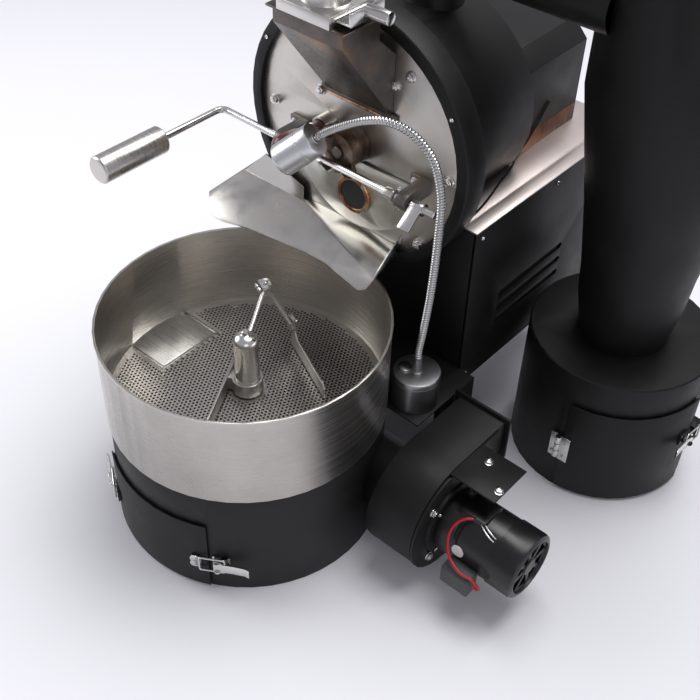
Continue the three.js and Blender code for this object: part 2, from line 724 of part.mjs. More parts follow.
// The red lead's bends, from the motor's front face and the fan's axis.
const redLead = {
  wire: 2,
  bends: [
    [44, -22, 52], [37, -28, 52], [29, -36, 45], [26, -47, 32], [30, -55, 16], [38, -61, 4], [52, -66, -2],
    [66, -68, -5], [80, -66, -6], [89, -64, -14], [90, -61, -23], [86, -61, -26], [81, -61, -26],
  ],
};

// The red lead leaves the motor's terminal box, bows round the motor and ends at the capacitor.
function motorRedLead() {
  const route = redLead.bends.map(([x, y, z]) => new THREE.Vector3(motorFront + x, y, z));
  return rodAlong(new THREE.CatmullRomCurve3(route), redLead.wire, 6, 26);
}

const shelfOverMotor = {
  nearY: -10, farY: 64, reach: 74, thickness: 3, edgeNear: 66, edgeFar: 100, edgeDrop: 34,
};

// A bracket over the motor, bolted by its turned-down edge to the side of the outlet neck.
function motorShelf() {
  const size = shelfOverMotor;
  const left = scrollWidth + gap;
  const top = scroll.end - gap;
  return join(
    block(left, left + size.reach, size.nearY, size.farY, top - size.thickness, top),
    block(left, left + size.thickness, size.farY - size.thickness, size.edgeFar, top - size.thickness, top),
    block(left, left + size.thickness, size.edgeNear, size.edgeFar, top - size.edgeDrop, top));
}

function buildBlower() {
  piece('blower_housing', blowerHousing(), 'blackPaint', blower);
  piece('blower_end_plate', blowerEndPlate(), 'blackPaint', blower);
  piece('blower_impeller', blowerImpeller(), 'aluminium', blower);
  piece('blower_motor', blowerMotor(), 'blackSatin', blower);
  piece('motor_fan_cover', motorFanCover(), 'blackSatin', blower);
  piece('motor_capacitor', motorCapacitor(), 'greyPlastic', blower);
  piece('motor_red_lead', motorRedLead(), 'redCable', blower);
  piece('motor_shelf', motorShelf(), 'blackPaint', blower);
}

// Cabinet

const legs = { width: 32, inset: 3, footRadius: 21, footHeight: 10 };
const shelf = { left: 150, rightInset: 11, front: 118, drop: 1, low: 30 };
const shelfTop = bandFoot - shelf.drop;

// The shelf that ties the tray to the cabinet; the lamp's magnetic base stands on it.
function bridgeShelf() {
  const { left, front, low } = shelf;
  const right = blowerX - shelf.rightInset;
  const back = cabinetFront - gap;
  const body = join(
    block(-left, right, front, back, shelfTop - plate, shelfTop),
    block(-left, plate - left, front, back, low, shelfTop),
    block(right - plate, right, front + ductRadius, back, low, shelfTop));
  const tray = round(baseRadius + gap, trayRimTop, 48);
  const duct = alongX(round(ductRadius + gap, 2 * blowerX, 24)).translate(0, blowerY, blowerZ);
  return cut(body, tray, duct);
}

function cabinetFrame() {
  const { width, inset, footRadius, footHeight } = legs;
  const x = cabinetHalfWidth - sheet - inset;
  const front = cabinetFront + plate;
  const back = cabinetBack - plate;
  const top = cabinetTop - sheet - gap;
  const parts = [
    block(-x, x, cabinetFront, front, cabinetFoot, top),
    block(-x, x, back, cabinetBack, cabinetFoot, top),
    block(-x, x, cabinetFront, cabinetBack, cabinetFoot, cabinetFoot + plate),
  ];
  for (const left of [-x, x - width]) {
    for (const near of [cabinetFront, cabinetBack - width]) {
      parts.push(block(left, left + width, near, near + width, footHeight, top));
      parts.push(round(footRadius, footHeight, 14).translate(left + width / 2, near + width / 2, 0));
    }
  }
  const jacket = alongY(round(jacketRadius + gap, cabinetLength, 36))
    .translate(0, cabinetFront - overrun, faceZ);
  return cut(join(...parts), jacket);
}

const louvre = { length: 171, height: 11, pitch: 26, count: 3, drop: 151, from: 77 };

function sidePanel(side) {
  const outer = side * cabinetHalfWidth;
  const inner = side * (cabinetHalfWidth - sheet);
  const body = block(Math.min(outer, inner), Math.max(outer, inner), cabinetFront, cabinetBack,
    cabinetFoot, cabinetTop - sheet - gap);
  const slots = [];
  for (let i = 0; i < louvre.count; i += 1) {
    const low = cabinetFront + louvre.from;
    const half = louvre.height / 2;
    const middle = cabinetTop - louvre.drop - i * louvre.pitch;
    slots.push(crossPrism([
      [low, middle], [low + half, middle - half], [low + louvre.length - half, middle - half],
      [low + louvre.length, middle], [low + louvre.length - half, middle + half], [low + half, middle + half],
    ], Math.min(outer, inner) - overrun, Math.max(outer, inner) + overrun));
  }
  return cut(body, ...slots);
}

const seam = { inset: 23, width: 1.6, depth: 1 };

function cabinetTopSheet() {
  const body = block(-cabinetHalfWidth, cabinetHalfWidth, cabinetFront, cabinetBack,
    cabinetTop - sheet, cabinetTop);
  const jacketLong = jacketBack - cabinetFront + plate + 2 * overrun;
  const jacket = alongY(round(jacketRadius + gap, jacketLong, 36))
    .translate(0, cabinetFront - overrun, faceZ);
  const seams = [-1, 1].map((side) => {
    const x = side * (cabinetHalfWidth - seam.inset);
    return block(x - seam.width / 2, x + seam.width / 2, cabinetFront - overrun, cabinetBack + overrun,
      cabinetTop - seam.depth, cabinetTop + overrun);
  });
  return cut(body, jacket, ...seams);
}

const burnerSize = {
  tube: 9, spread: 44, from: 24, length: 128, drop: 29, railHeight: 10, upright: 8, halfWidth: 62,
};

// Three burner tubes under the drum, on two uprights from the cabinet's floor.
function burner() {
  const size = burnerSize;
  const near = cabinetFront + size.from;
  const middle = faceZ - jacketRadius - size.drop - size.tube;
  const rows = [-1, 0, 1].map((i) => alongY(round(size.tube, size.length, 12))
    .translate(i * size.spread, near, middle));
  const foot = cabinetFoot + plate + gap;
  const frames = [near + size.tube, near + size.length - size.tube - size.upright].flatMap((y) => [
    block(-size.halfWidth, size.halfWidth, y, y + size.upright, middle - size.tube - size.railHeight, middle),
    block(-size.halfWidth, size.upright - size.halfWidth, y, y + size.upright, foot, middle),
    block(size.halfWidth - size.upright, size.halfWidth, y, y + size.upright, foot, middle),
  ]);
  return join(...rows, ...frames);
}

function buildCabinet() {
  piece('bridge_shelf', bridgeShelf(), 'blackPaint');
  piece('cabinet_frame', cabinetFrame(), 'blackPaint');
  piece('side_panel_right', sidePanel(1), 'blackPaint');
  piece('side_panel_left', sidePanel(-1), 'blackPaint');
  piece('cabinet_top', cabinetTopSheet(), 'paleSheet');
  piece('burner', burner(), 'castIron');
}

// Drum and its housing

const door = {
  axleReach: 45, axleDrop: 24, axleRadius: 5, radius: 114, topDrop: 33, thickness: 4, standoff: 1,
  glassDrop: 89, glassX: 5, glassRadius: 19, glassRing: 27, ringSheet: 3, lugs: [-15, 100], lugHalfWidth: 7,
  lugEye: 8, lugTopDrop: 38, lugLowDrop: 55, lugReach: 12, land: 16,
};
const axleY = faceY - door.axleReach;
const axleZ = faceZ - door.axleDrop;
const doorTop = faceZ - door.topDrop;
const doorBack = faceY - door.standoff;
const doorFront = doorBack - door.thickness;
const glassZ = faceZ - door.glassDrop;

const rearBearing = { plate: 6, hub: 26, hubLength: 17, shaftReach: 46 };
const shaftEnd = jacketBack + rearBearing.shaftReach;
const bearing = {
  radius: 27, flangeHalfWidth: 40, flangeHalfHeight: 22, flange: 7, reach: 36, eye: 11, lean: -52,
};
const bearingFront = faceY - bearing.reach;
const trier = {
  x: -46, rise: 4, radius: 11, sleeve: 14.5, sleeveLength: 22, scoop: 92, scoopNeck: 7, scoopRim: 2.2,
  handleRadius: 16, handle: 62, reach: 104,
};
const trierZ = faceZ + trier.rise;
const feed = {
  halfWidth: 56, x: 5, rise: 51, plateHeight: 90, neckHeight: 64, frontReach: 102, rearReach: 34, fall: 1.6,
};
const feedLow = faceZ + feed.rise;
const feedPlateTop = feedLow + feed.plateHeight;
const feedTop = feedPlateTop + feed.neckHeight;
const feedFront = faceY - feed.frontReach;
const feedRear = faceY - feed.rearReach;
const feedMouth = (feedFront + feedRear) / 2;
const flue = { setback: 119, radius: 40, footRise: 21, elbowRise: 55, overlap: 18 };
const flueY = ringBack + flue.setback;
const flueFoot = faceZ + jacketRadius + flue.footRise;
const flueHeight = flueFoot + flue.elbowRise;

// The jacket round the drum, with its closed rear end, the shaft's rear hub and the flue's collar.
function drumJacket() {
  const body = alongY(pipe(jacketRadius, jacketRadius - jacketWall, jacketBack - ringBack - gap, 36))
    .translate(0, ringBack + gap, faceZ);
  const end = alongY(round(jacketRadius, rearBearing.plate, 36)).translate(0, jacketBack - plate, faceZ);
  const hub = alongY(round(rearBearing.hub, rearBearing.hubLength, 18)).translate(0, jacketBack, drumZ);
  const bore = alongY(round(shaftRadius + slip, cabinetLength, 14)).translate(0, jacketBack - overrun, drumZ);
  const collar = pipe(flue.radius + sheet + gap, flue.radius + gap, jacketRadius + flue.footRise, 18)
    .translate(0, flueY, faceZ);
  const hollow = alongY(round(jacketRadius - jacketWall, jacketLength, 36)).translate(0, ringBack, faceZ);
  const hole = round(flue.radius + gap, 2 * jacketRadius, 18).translate(0, flueY, faceZ);
  return cut(join(body, end, hub, cut(collar, hollow)), hole, bore);
}

const ringBevel = 2;

function frontRing() {
  const inner = jacketRadius - jacketWall;
  const seat = faceY + faceThickness + gap;
  const profile = [
    [faceRadius + gap, ringFront], [ringRadius - ringBevel, ringFront], [ringRadius, ringFront + ringBevel],
    [ringRadius, ringBack], [inner, ringBack], [inner, seat], [faceRadius + gap, seat],
    [faceRadius + gap, ringFront],
  ];
  return alongY(turned(profile, 48)).translate(0, 0, faceZ);
}

// The opening behind the discharge door: the door's outline drawn in by its landing.
function dischargeOpening() {
  const radius = door.radius - door.land;
  const high = doorTop - door.land;
  const half = degrees(Math.asin((axleZ - high) / radius));
  const points = arc(radius, -180 + half, -half, 12).map(([x, z]) => [x + door.glassX, z + axleZ]);
  return sidePrism(points, faceY - overrun, faceY + faceThickness + overrun);
}

function facePlate() {
  const disc = alongY(round(faceRadius, faceThickness, 48)).translate(0, faceY, faceZ);
  const sleeve = alongY(round(trier.sleeve, trier.sleeveLength + faceThickness / 2, 14))
    .translate(trier.x, faceY - trier.sleeveLength, trierZ);
  const trierBore = alongY(round(trier.radius + slip, 2 * trier.sleeveLength + faceThickness, 14))
    .translate(trier.x, faceY - trier.sleeveLength - overrun, trierZ);
  const shaftBore = alongY(round(shaftRadius + slip, 2 * faceThickness + 2 * overrun, 14))
    .translate(0, faceY - overrun, drumZ);
  const land = sheet + overrun;
  const feedHole = block(feed.x - feed.halfWidth + land, feed.x + feed.halfWidth - land, faceY - overrun,
    faceY + faceThickness + overrun, feedLow + land, feedPlateTop - land);
  return cut(join(disc, sleeve), trierBore, shaftBore, feedHole, dischargeOpening());
}

const drumSize = {
  clearance: 16, wall: 3, frontGap: 14, backGap: 6, lip: 26, vaneHeight: 18, spoke: 6, spiderGap: 12,
};
const drumCounts = { vanes: 6, spokes: 3, vaneTurn: 12 };

// The drum turns on a shaft. A spider steadies it behind the trier's scoop, and vanes lift the beans.
function roastingDrum() {
  const size = drumSize;
  const radius = jacketRadius - jacketWall - size.clearance;
  const inside = radius - size.wall;
  const front = faceY + size.frontGap;
  const back = jacketBack - size.backGap;
  const spider = faceY + faceThickness + trier.scoop + size.spiderGap;
  const shell = alongY(pipe(radius, inside, back - front, 36)).translate(0, front, 0);
  const rear = alongY(round(radius, size.wall, 36)).translate(0, back - size.wall, 0);
  const lip = alongY(pipe(radius, radius - size.lip, size.wall, 36)).translate(0, front, 0);
  const shaftFront = bearingFront + gap;
  const shaft = alongY(round(shaftRadius, shaftEnd - shaftFront, 12)).translate(0, shaftFront, 0);
  const spokes = [];
  for (let i = 0; i < drumCounts.spokes; i += 1) {
    spokes.push(block(-size.spoke, size.spoke, spider, spider + size.spoke, 0, inside)
      .rotateY(2 * Math.PI * i / drumCounts.spokes));
  }
  const vanes = [];
  for (let i = 0; i < drumCounts.vanes; i += 1) {
    vanes.push(block(-size.wall / 2, size.wall / 2, front + size.wall, back - size.wall / 2,
      -size.vaneHeight, size.wall / 2).rotateY(radians(drumCounts.vaneTurn))
      .translate(0, 0, inside).rotateY(2 * Math.PI * i / drumCounts.vanes + Math.PI / drumCounts.vanes));
  }
  return join(shell, rear, lip, shaft, ...spokes, ...vanes).translate(0, 0, drumZ);
}

// A two-bolt flanged bearing that stands off the face plate on a round boss.
function frontBearing() {
  const { radius, flangeHalfWidth, flangeHalfHeight, flange, eye } = bearing;
  const front = bearingFront;
  const boss = alongY(round(radius, bearing.reach - gap, 20)).translate(0, front, drumZ);
  const turn = radians(bearing.lean);
  const ends = [-1, 1].map((side) => [
    side * (flangeHalfWidth - eye) * Math.cos(turn), side * (flangeHalfWidth - eye) * Math.sin(turn)]);
  const ears = ends.map(([x, z]) => alongY(round(eye, flange, 12)).translate(x, front, drumZ + z));
  const middle = alongY(round(flangeHalfHeight, flange, 20)).translate(0, front, drumZ);
  const web = block(-flangeHalfWidth + eye, flangeHalfWidth - eye, 0, flange, -eye, eye)
    .rotateY(-turn).translate(0, front, drumZ);
  const bore = alongY(round(shaftRadius + slip, faceY, 14)).translate(0, front - overrun, drumZ);
  return cut(join(boss, middle, web, ...ears), bore);
}

const drumDrive = {
  halfWidth: 46, length: 58, motorRadius: 34, motorLength: 74, corner: 10, foot: 12, footHalf: 34,
};

function drumGearmotor() {
  const size = drumDrive;
  const start = jacketBack + rearBearing.hubLength + gap;
  const { halfWidth: half, corner } = size;
  const section = [
    [corner - half, -half], [half - corner, -half], [half, corner - half], [half, half - corner],
    [half - corner, half], [corner - half, half], [-half, half - corner], [-half, corner - half],
  ].map(([x, z]) => [x, z + drumZ]);
  const box = sidePrism(section, start, start + size.length);
  const can = alongY(round(size.motorRadius, size.motorLength, 20))
    .translate(0, start + size.length - sheet, drumZ);
  const stand = block(-size.footHalf, size.footHalf, start + size.foot, start + size.length - size.foot,
    cabinetTop + gap, drumZ - half + corner);
  const bore = alongY(round(shaftRadius + slip, shaftEnd - start + slip + overrun, 14))
    .translate(0, start - overrun, drumZ);
  return cut(join(box, can, stand), bore);
}

const drive = {
  halfWidth: 118, length: 176, base: 29, rise: 158, shoulder: 26, cornerInset: 0.4, vent: 7, vents: 5,
  ventLength: 60, ventRise: 26,
};
const driveFront = jacketBack + rearBearing.plate - plate + gap;

// A low skirt of bare steel round the foot of the drive.
function driveBase() {
  const { halfWidth, length, base } = drive;
  const front = driveFront;
  return cut(
    block(-halfWidth, halfWidth, front, front + length, cabinetTop + gap, cabinetTop + base),
    block(sheet - halfWidth, halfWidth - sheet, front + sheet, front + length - sheet, cabinetTop - overrun,
      cabinetTop + base + overrun));
}

// A folded cover over the drive, open below and against the jacket.
function driveCover() {
  const { halfWidth, length, base, rise, shoulder, cornerInset, vent, vents, ventLength, ventRise } = drive;
  const front = driveFront;
  const foot = cabinetTop + base + gap;
  const top = cabinetTop + rise;
  const section = (inset) => {
    const corner = shoulder + inset * cornerInset;
    const low = foot - (inset ? overrun : 0);
    return [
      [inset - halfWidth, low], [halfWidth - inset, low], [halfWidth - inset, top - corner],
      [halfWidth - corner, top - inset], [corner - halfWidth, top - inset], [inset - halfWidth, top - corner],
    ];
  };
  const body = sidePrism(section(0), front, front + length);
  const hollow = sidePrism(section(sheet), front - overrun, front + length - sheet);
  const openings = [];
  for (let i = 0; i < vents; i += 1) {
    const z = foot + ventRise + i * 2 * vent;
    openings.push(block(-ventLength / 2, ventLength / 2, front + length - overrun, front + length + overrun,
      z, z + vent));
  }
  return cut(body, hollow, ...openings);
}

function buildDrum() {
  piece('drum_jacket', drumJacket(), 'blackPaint');
  piece('front_ring', frontRing(), 'blackPaint');
  piece('face_plate', facePlate(), 'brushedSteel');
  piece('roasting_drum', roastingDrum(), 'castIron');
  piece('front_bearing', frontBearing(), 'castIron');
  piece('drum_gearmotor', drumGearmotor(), 'blackSatin');
  piece('drive_base', driveBase(), 'tintedSteel');
  piece('drive_cover', driveCover(), 'blackPaint');
}

// Feed chute, hopper and its gate

const hopperSize = { neck: 30, neckHeight: 22, rimRadius: 108, height: 150, flange: 6, wall: 2 };
const hopperGate = {
  halfWidth: 36, length: 100, thickness: 3, knobLength: 34, knobRadius: 8.5, knobRise: 12.75,
};

// The chute's side view, in the YZ plane; inset draws its inside.
function feedSide(inset) {
  const back = faceY - gap;
  const beyond = inset ? overrun : 0;
  const width = feedRear - feedFront;
  return [
    [back + beyond, feedLow + inset * feed.fall], [back + beyond, feedPlateTop - inset],
    [feedRear - inset, feedTop - width / 2], [feedRear - inset, feedTop + beyond],
    [feedFront + inset, feedTop + beyond], [feedFront + inset, feedTop - width / 3],
  ];
}

function feedChute() {
  const left = feed.x - feed.halfWidth;
  const right = feed.x + feed.halfWidth;
  const rim = block(left - overrun, right + overrun, feedFront - overrun, feedRear + overrun,
    feedTop - plate, feedTop);
  return cut(join(crossPrism(feedSide(0), left, right), rim),
    crossPrism(feedSide(sheet), left + sheet, right - sheet),
    round(hopperSize.neck, 2 * overrun).translate(feed.x, feedMouth, feedTop - overrun));
}

// A funnel; its square foot has the channel that the gate slides in.
function hopper() {
  const { neck, neckHeight, rimRadius, height, flange, wall } = hopperSize;
  const seat = feedTop + gap;
  const footTop = seat + 2 * flange + hopperGate.thickness;
  const foot = block(-hopperGate.halfWidth - flange, hopperGate.halfWidth + flange,
    -hopperGate.halfWidth - flange, hopperGate.halfWidth + flange, seat, footTop);
  const start = footTop + neckHeight;
  const funnel = turned([
    [neck, footTop - flange / 2], [neck + wall, footTop - flange / 2], [neck + wall, start],
    [rimRadius, start + height], [rimRadius, start + height + neckHeight],
    [rimRadius - wall, start + height + neckHeight], [rimRadius - wall, start + height], [neck, start],
    [neck, footTop - flange / 2],
  ], 28);
  const bore = round(neck, footTop - seat + 2 * overrun, 28).translate(0, 0, seat - overrun);
  const channel = block(-hopperGate.halfWidth - slip, hopperGate.halfWidth + flange + overrun,
    -hopperGate.halfWidth + flange - slip, hopperGate.halfWidth - flange + slip,
    seat + flange, seat + flange + hopperGate.thickness + slip);
  return cut(join(foot, funnel), bore, channel).translate(feed.x, feedMouth, 0);
}

function hopperGatePlate() {
  const { halfWidth, length, thickness, knobLength, knobRadius, knobRise } = hopperGate;
  const { flange } = hopperSize;
  const low = feedTop + gap + flange + slip / 2;
  const half = halfWidth - flange;
  const far = length - halfWidth;
  return join(
    block(-halfWidth, far, -half, half, low, low + thickness),
    block(far - thickness, far, -half, half, low, low + 2 * knobRadius),
    alongX(round(knobRadius, knobLength, 12)).translate(far, 0, low + knobRise),
  ).translate(feed.x, feedMouth, 0);
}

function buildFeed() {
  piece('feed_chute', feedChute(), 'castIron');
  piece('hopper', hopper(), 'brushedSteel');
  piece('hopper_gate', hopperGatePlate(), 'polishedSteel');
}

const handleShares = { end: 0.7, nose: 0.35, belly: 0.55, waist: 0.85, neck: 0.75 };

// The sampling trier: a scoop in the drum on a rod with a wooden handle.
function trierBody() {
  const { radius, scoop, scoopNeck, scoopRim, handleRadius, handle } = trier;
  const front = faceY - trier.reach;
  const rodEnd = faceY + faceThickness + scoop;
  const handleEnd = front + handle;
  const neckRadius = handleRadius * handleShares.neck;
  const knob = turned([
    [0, 0], [handleRadius * handleShares.end, 0], [handleRadius, handleRadius * handleShares.nose],
    [handleRadius, handle * handleShares.belly], [neckRadius, handle * handleShares.waist],
    [neckRadius, handle], [0, handle],
  ], 18);
  const rod = alongY(round(radius, rodEnd - handleEnd + sheet, 14)).translate(0, handleEnd - sheet, 0);
  const scoopFoot = faceY + faceThickness + scoopNeck;
  const trough = alongY(round(radius - sheet, scoop - 2 * scoopNeck, 12)).translate(0, scoopFoot, 0);
  const open = block(-radius - overrun, radius + overrun, scoopFoot, rodEnd - scoopNeck, scoopRim,
    radius + overrun);
  return cut(join(alongY(knob).translate(0, front, 0), rod), trough, open).translate(trier.x, 0, trierZ);
}

// Discharge door, its axle, lever, brackets and chute

const lever = {
  left: -213, right: 172, arm: 115, bend: 14, weightLength: 110, weightRadius: 19.5, weightBevel: 2.5,
};
const axleBrackets = { leftX: -92, rightX: 124, halfWidth: 8, halfHeight: 13, foot: 24, footSheet: 5 };

function doorPlate() {
  const half = degrees(Math.asin((axleZ - doorTop) / door.radius));
  const points = arc(door.radius, -180 + half, -half, 26).map(([x, z]) => [x + door.glassX, z + axleZ]);
  const leaf = sidePrism(points, doorFront, doorBack);
  const { lugEye, lugReach, lugHalfWidth } = door;
  const lugTop = faceZ - door.lugTopDrop;
  const lugLow = faceZ - door.lugLowDrop;
  const middle = doorFront + door.thickness / 2;
  const lugs = door.lugs.flatMap((x) => [
    crossPrism([
      [axleY - lugEye / 2, axleZ - lugEye / 2], [axleY + lugEye / 2, axleZ - lugEye / 2],
      [axleY + lugEye, lugTop], [middle, lugTop], [middle, lugLow], [doorFront - lugReach, lugLow],
      [axleY - lugEye / 2, lugTop],
    ], x - lugHalfWidth, x + lugHalfWidth),
    alongX(round(lugEye, 2 * lugHalfWidth, 14)).translate(x - lugHalfWidth, axleY, axleZ),
  ]);
  const axleBore = alongX(round(door.axleRadius + gap, 2 * faceRadius, 12))
    .translate(-faceRadius, axleY, axleZ);
  const sight = alongY(round(door.glassRadius, faceY, 20)).translate(door.glassX, faceY / 2, glassZ);
  const notch = alongY(round(bearing.radius + sheet, faceY)).translate(0, faceY / 2, drumZ);
  return cut(join(leaf, ...lugs), axleBore, sight, notch);
}

function sightGlassRing() {
  const front = doorFront - gap - door.ringSheet;
  const profile = [
    [door.glassRadius - sheet, 0], [door.glassRing - sheet, 0], [door.glassRing, sheet / 2],
    [door.glassRing, door.ringSheet], [door.glassRadius - sheet, door.ringSheet],
    [door.glassRadius - sheet, 0],
  ];
  return alongY(turned(profile, 20)).translate(door.glassX, front, glassZ);
}

function sightGlass() {
  const thickness = door.thickness - gap;
  return alongY(round(door.glassRadius - gap, thickness, 20))
    .translate(door.glassX, doorFront + gap / 2, glassZ);
}

const flag = { x: 146, collar: 9, halfLength: 9, plate: 26, thickness: 3, lift: 5, tilt: 42 };

// The axle runs on to the left as the lever, and turns forward to the counterweight.
function doorAxle() {
  const { left, right, arm: reach, bend } = lever;
  const run = (x, y) => [x, axleY - y, axleZ];
  const curve = new THREE.QuadraticBezierCurve3(
    ...[run(left + bend, 0), run(left, 0), run(left, bend)].map((point) => new THREE.Vector3(...point)));
  const bar = join(
    strut(run(right, 0), run(left + bend, 0), door.axleRadius),
    rodAlong(curve, door.axleRadius, 12, 8),
    strut(run(left, bend), run(left, reach + 2 * bend), door.axleRadius));
  const collar = alongX(round(flag.collar, 2 * flag.halfLength, 12))
    .translate(flag.x - flag.halfLength, axleY, axleZ);
  const tab = block(-flag.halfLength, flag.halfLength, -flag.plate - flag.collar, 0,
    flag.lift, flag.lift + flag.thickness).rotateX(radians(flag.tilt)).translate(flag.x, axleY, axleZ);
  return join(bar, collar, tab);
}

function counterweight() {
  const { left, arm: reach, weightLength, weightRadius, weightBevel: bevel, bend } = lever;
  const far = axleY - reach;
  const profile = [
    [0, 0], [weightRadius - bevel, 0], [weightRadius, bevel], [weightRadius, weightLength - bevel],
    [weightRadius - bevel, weightLength], [0, weightLength],
  ];
  const bore = round(door.axleRadius + gap, 2 * bend + gap + overrun, 12)
    .translate(0, 0, weightLength - 2 * bend - gap);
  return alongY(cut(turned(profile, 26), bore)).translate(left, far - weightLength, axleZ);
}

function axleBracket(x) {
  const { halfWidth, halfHeight, foot: footReach, footSheet } = axleBrackets;
  const back = faceY - gap;
  const low = doorTop + slip;
  const high = axleZ + halfHeight;
  const post = block(x - halfWidth, x + halfWidth, axleY, back, low, high);
  const nose = alongX(round(halfHeight, 2 * halfWidth, 14)).translate(x - halfWidth, axleY, axleZ);
  const foot = block(x - footReach, x + halfWidth, back - footSheet, back, low, high);
  const bore = alongX(round(door.axleRadius + gap, 4 * footReach, 14))
    .translate(x - 2 * footReach, axleY, axleZ);
  return cut(join(post, nose, foot), bore);
}

const chute = {
  reach: 75, lift: 9, slope: 0.4, right: 90, wingSetback: 21, wingOut: 13, shoulderIn: 51, curb: 14,
  curbBack: 22, curbStart: 11, curbFull: 44, flangeRight: 26, flangeLeft: 50, flangeIn: 26, flangeOut: 21,
};
const chuteY = faceY - chute.reach;
const chuteZ = trayRimTop + chute.lift;

// The chute's front edge seen from above, from its left wing to its right corner, measured from chuteY.
const chuteEdge = [
  [-233, 11], [-222, 0], [-206.5, -12], [-191, -17.6], [-173, -17], [-133, -8], [-29, 3], [12, 4], [36, 0],
  [81, -6.6], [90, 0],
];

// The chute is a flat sheet that falls towards the tray.
function dischargeChute() {
  const { slope, right, wingSetback, wingOut, shoulderIn, curb, curbBack, curbStart, curbFull } = chute;
  const back = faceY - gap;
  const shy = ringFront - gap;
  const wing = faceY + wingSetback;
  const wingX = -ringRadius - wingOut;
  const shoulderX = shoulderIn - ringRadius;
  const front = chuteEdge.map(([x, y]) => [x, chuteY + y]);
  const plan = [[right, back], [-right, back], [-right, shy], [shoulderX, shy], [wingX, wing], ...front];
  const lift = (y) => chuteZ + slope * (y - chuteY);
  const near = Math.min(...front.map(([, y]) => y)) - overrun;
  const far = wing + overrun;
  const column = prism(plan, lift(far) - lift(near) + 4 * overrun).translate(0, 0, lift(near) - 2 * overrun);
  const [[leftX]] = chuteEdge;
  const slab = crossPrism([
    [near, lift(near)], [near, lift(near) - sheet], [far, lift(far) - sheet], [far, lift(far)],
  ], leftX - overrun, right + overrun);
  const start = chuteY + curbStart;
  const full = chuteY + curbFull;
  const side = crossPrism([
    [start, lift(start) - sheet], [back, lift(back) - sheet], [back, lift(back) + curbBack],
    [full, lift(full) + curb],
  ], right - sheet, right);
  const foot = lift(shy - sheet) - sheet;
  const flange = sidePrism([
    [-right, foot], [-right, foot + chute.flangeRight],
    [chute.flangeIn - ringRadius, foot + chute.flangeLeft], [-ringRadius - chute.flangeOut, foot],
  ], shy - sheet, shy);
  return join(shared(slab, column), side, flange);
}

function buildDoor() {
  piece('trier', trierBody(), 'cherryWood');
  piece('discharge_door', doorPlate(), 'brushedSteel');
  piece('sight_glass_ring', sightGlassRing(), 'tintedSteel');
  piece('sight_glass', sightGlass(), 'glass');
  piece('door_axle', doorAxle(), 'polishedSteel');
  piece('lever_counterweight', counterweight(), 'brushedSteel');
  piece('axle_bracket_left', axleBracket(axleBrackets.leftX), 'castIron');
  piece('axle_bracket_right', axleBracket(axleBrackets.rightX), 'castIron');
  piece('discharge_chute', dischargeChute(), 'brushedSteel');
}

// Inspection lamp on a magnetic base

const lamp = {
  radius: 34, height: 55, bevel: 2, ferrule: 6.5, ferruleLength: 24, cap: 9, capHeight: 3, capInset: 14,
  headRadius: 22, headLength: 58, headWall: 2, lensDepth: 5, lensThickness: 3, clearance: 4.7, bearing: 41.4,
};
const neckRib = { crest: 5.6, root: 4.7, bore: 3 };
const neckCounts = { ribs: 70, sides: 8, ribsPerBoreRing: 5 };
const lampReach = trayRadius + lamp.radius + lamp.clearance;
const lampPlace = [
  lampReach * Math.cos(radians(lamp.bearing)), lampReach * Math.sin(radians(lamp.bearing)), shelfTop + gap,
];
const headAim = [-0.65, -0.38, -0.66];

// The gooseneck's bends and the back of the lamp's head, from the middle of the base's foot.
const neckBends = [
  [5, -1, 132], [12, -3, 196], [19, -8, 296], [20, -13, 368], [9, -24, 420], [-16, -32, 444], [-46, -39, 450],
  [-79, -44, 440], [-113, -45, 419],
];
const headOffset = { x: -151, y: -48, z: 388 };
const fromLamp = (offset) => offset.map((length, axis) => lampPlace[axis] + length);
const headRear = fromLamp([headOffset.x, headOffset.y, headOffset.z]);

function lampBase() {
  const { radius, height, bevel, ferrule, ferruleLength, cap, capHeight, capInset } = lamp;
  const body = turned([
    [0, 0], [radius, 0], [radius, height - bevel], [radius - bevel, height], [ferrule + bevel, height],
    [ferrule, height + bevel], [ferrule, height + ferruleLength], [0, height + ferruleLength],
  ], 26);
  const button = round(cap, capHeight + bevel, 14).translate(-capInset, -capInset / 2, height - bevel);
  return join(body, button).translate(...lampPlace);
}

// A ribbed hose: rings at the crests and roots outside, and a plain bore inside.
function ribbedHose(path, size, counts) {
  const { crest, root, bore } = size;
  const { ribs, sides, ribsPerBoreRing } = counts;
  const rings = 2 * ribs;
  const frames = path.computeFrenetFrames(rings);
  const points = [];
  const faces = [];
  const addRing = (i, radius) => {
    const centre = path.getPointAt(i / rings);
    for (let j = 0; j < sides; j += 1) {
      const angle = 2 * Math.PI * j / sides;
      const point = centre.clone()
        .addScaledVector(frames.normals[i], radius * Math.cos(angle))
        .addScaledVector(frames.binormals[i], radius * Math.sin(angle));
      points.push(...point.toArray());
    }
  };
  const bridge = (from, to) => {
    for (let j = 0; j < sides; j += 1) {
      const next = (j + 1) % sides;
      faces.push(from + j, from + next, to + next, from + j, to + next, to + j);
    }
  };
  for (let i = 0; i <= rings; i += 1) addRing(i, i % 2 === 0 ? root : crest);
  for (let i = 0; i < rings; i += 1) bridge(i * sides, (i + 1) * sides);
  const inside = (rings + 1) * sides;
  const boreStep = 2 * ribsPerBoreRing;
  const boreRings = rings / boreStep;
  for (let i = 0; i <= boreRings; i += 1) addRing(i * boreStep, bore);
  for (let i = 0; i < boreRings; i += 1) bridge(inside + (i + 1) * sides, inside + i * sides);
  bridge(inside, 0);
  bridge(rings * sides, inside + boreRings * sides);
  const geometry = new THREE.BufferGeometry();
  geometry.setAttribute('position', new THREE.Float32BufferAttribute(points, 3));
  geometry.setIndex(faces);
  return geometry;
}

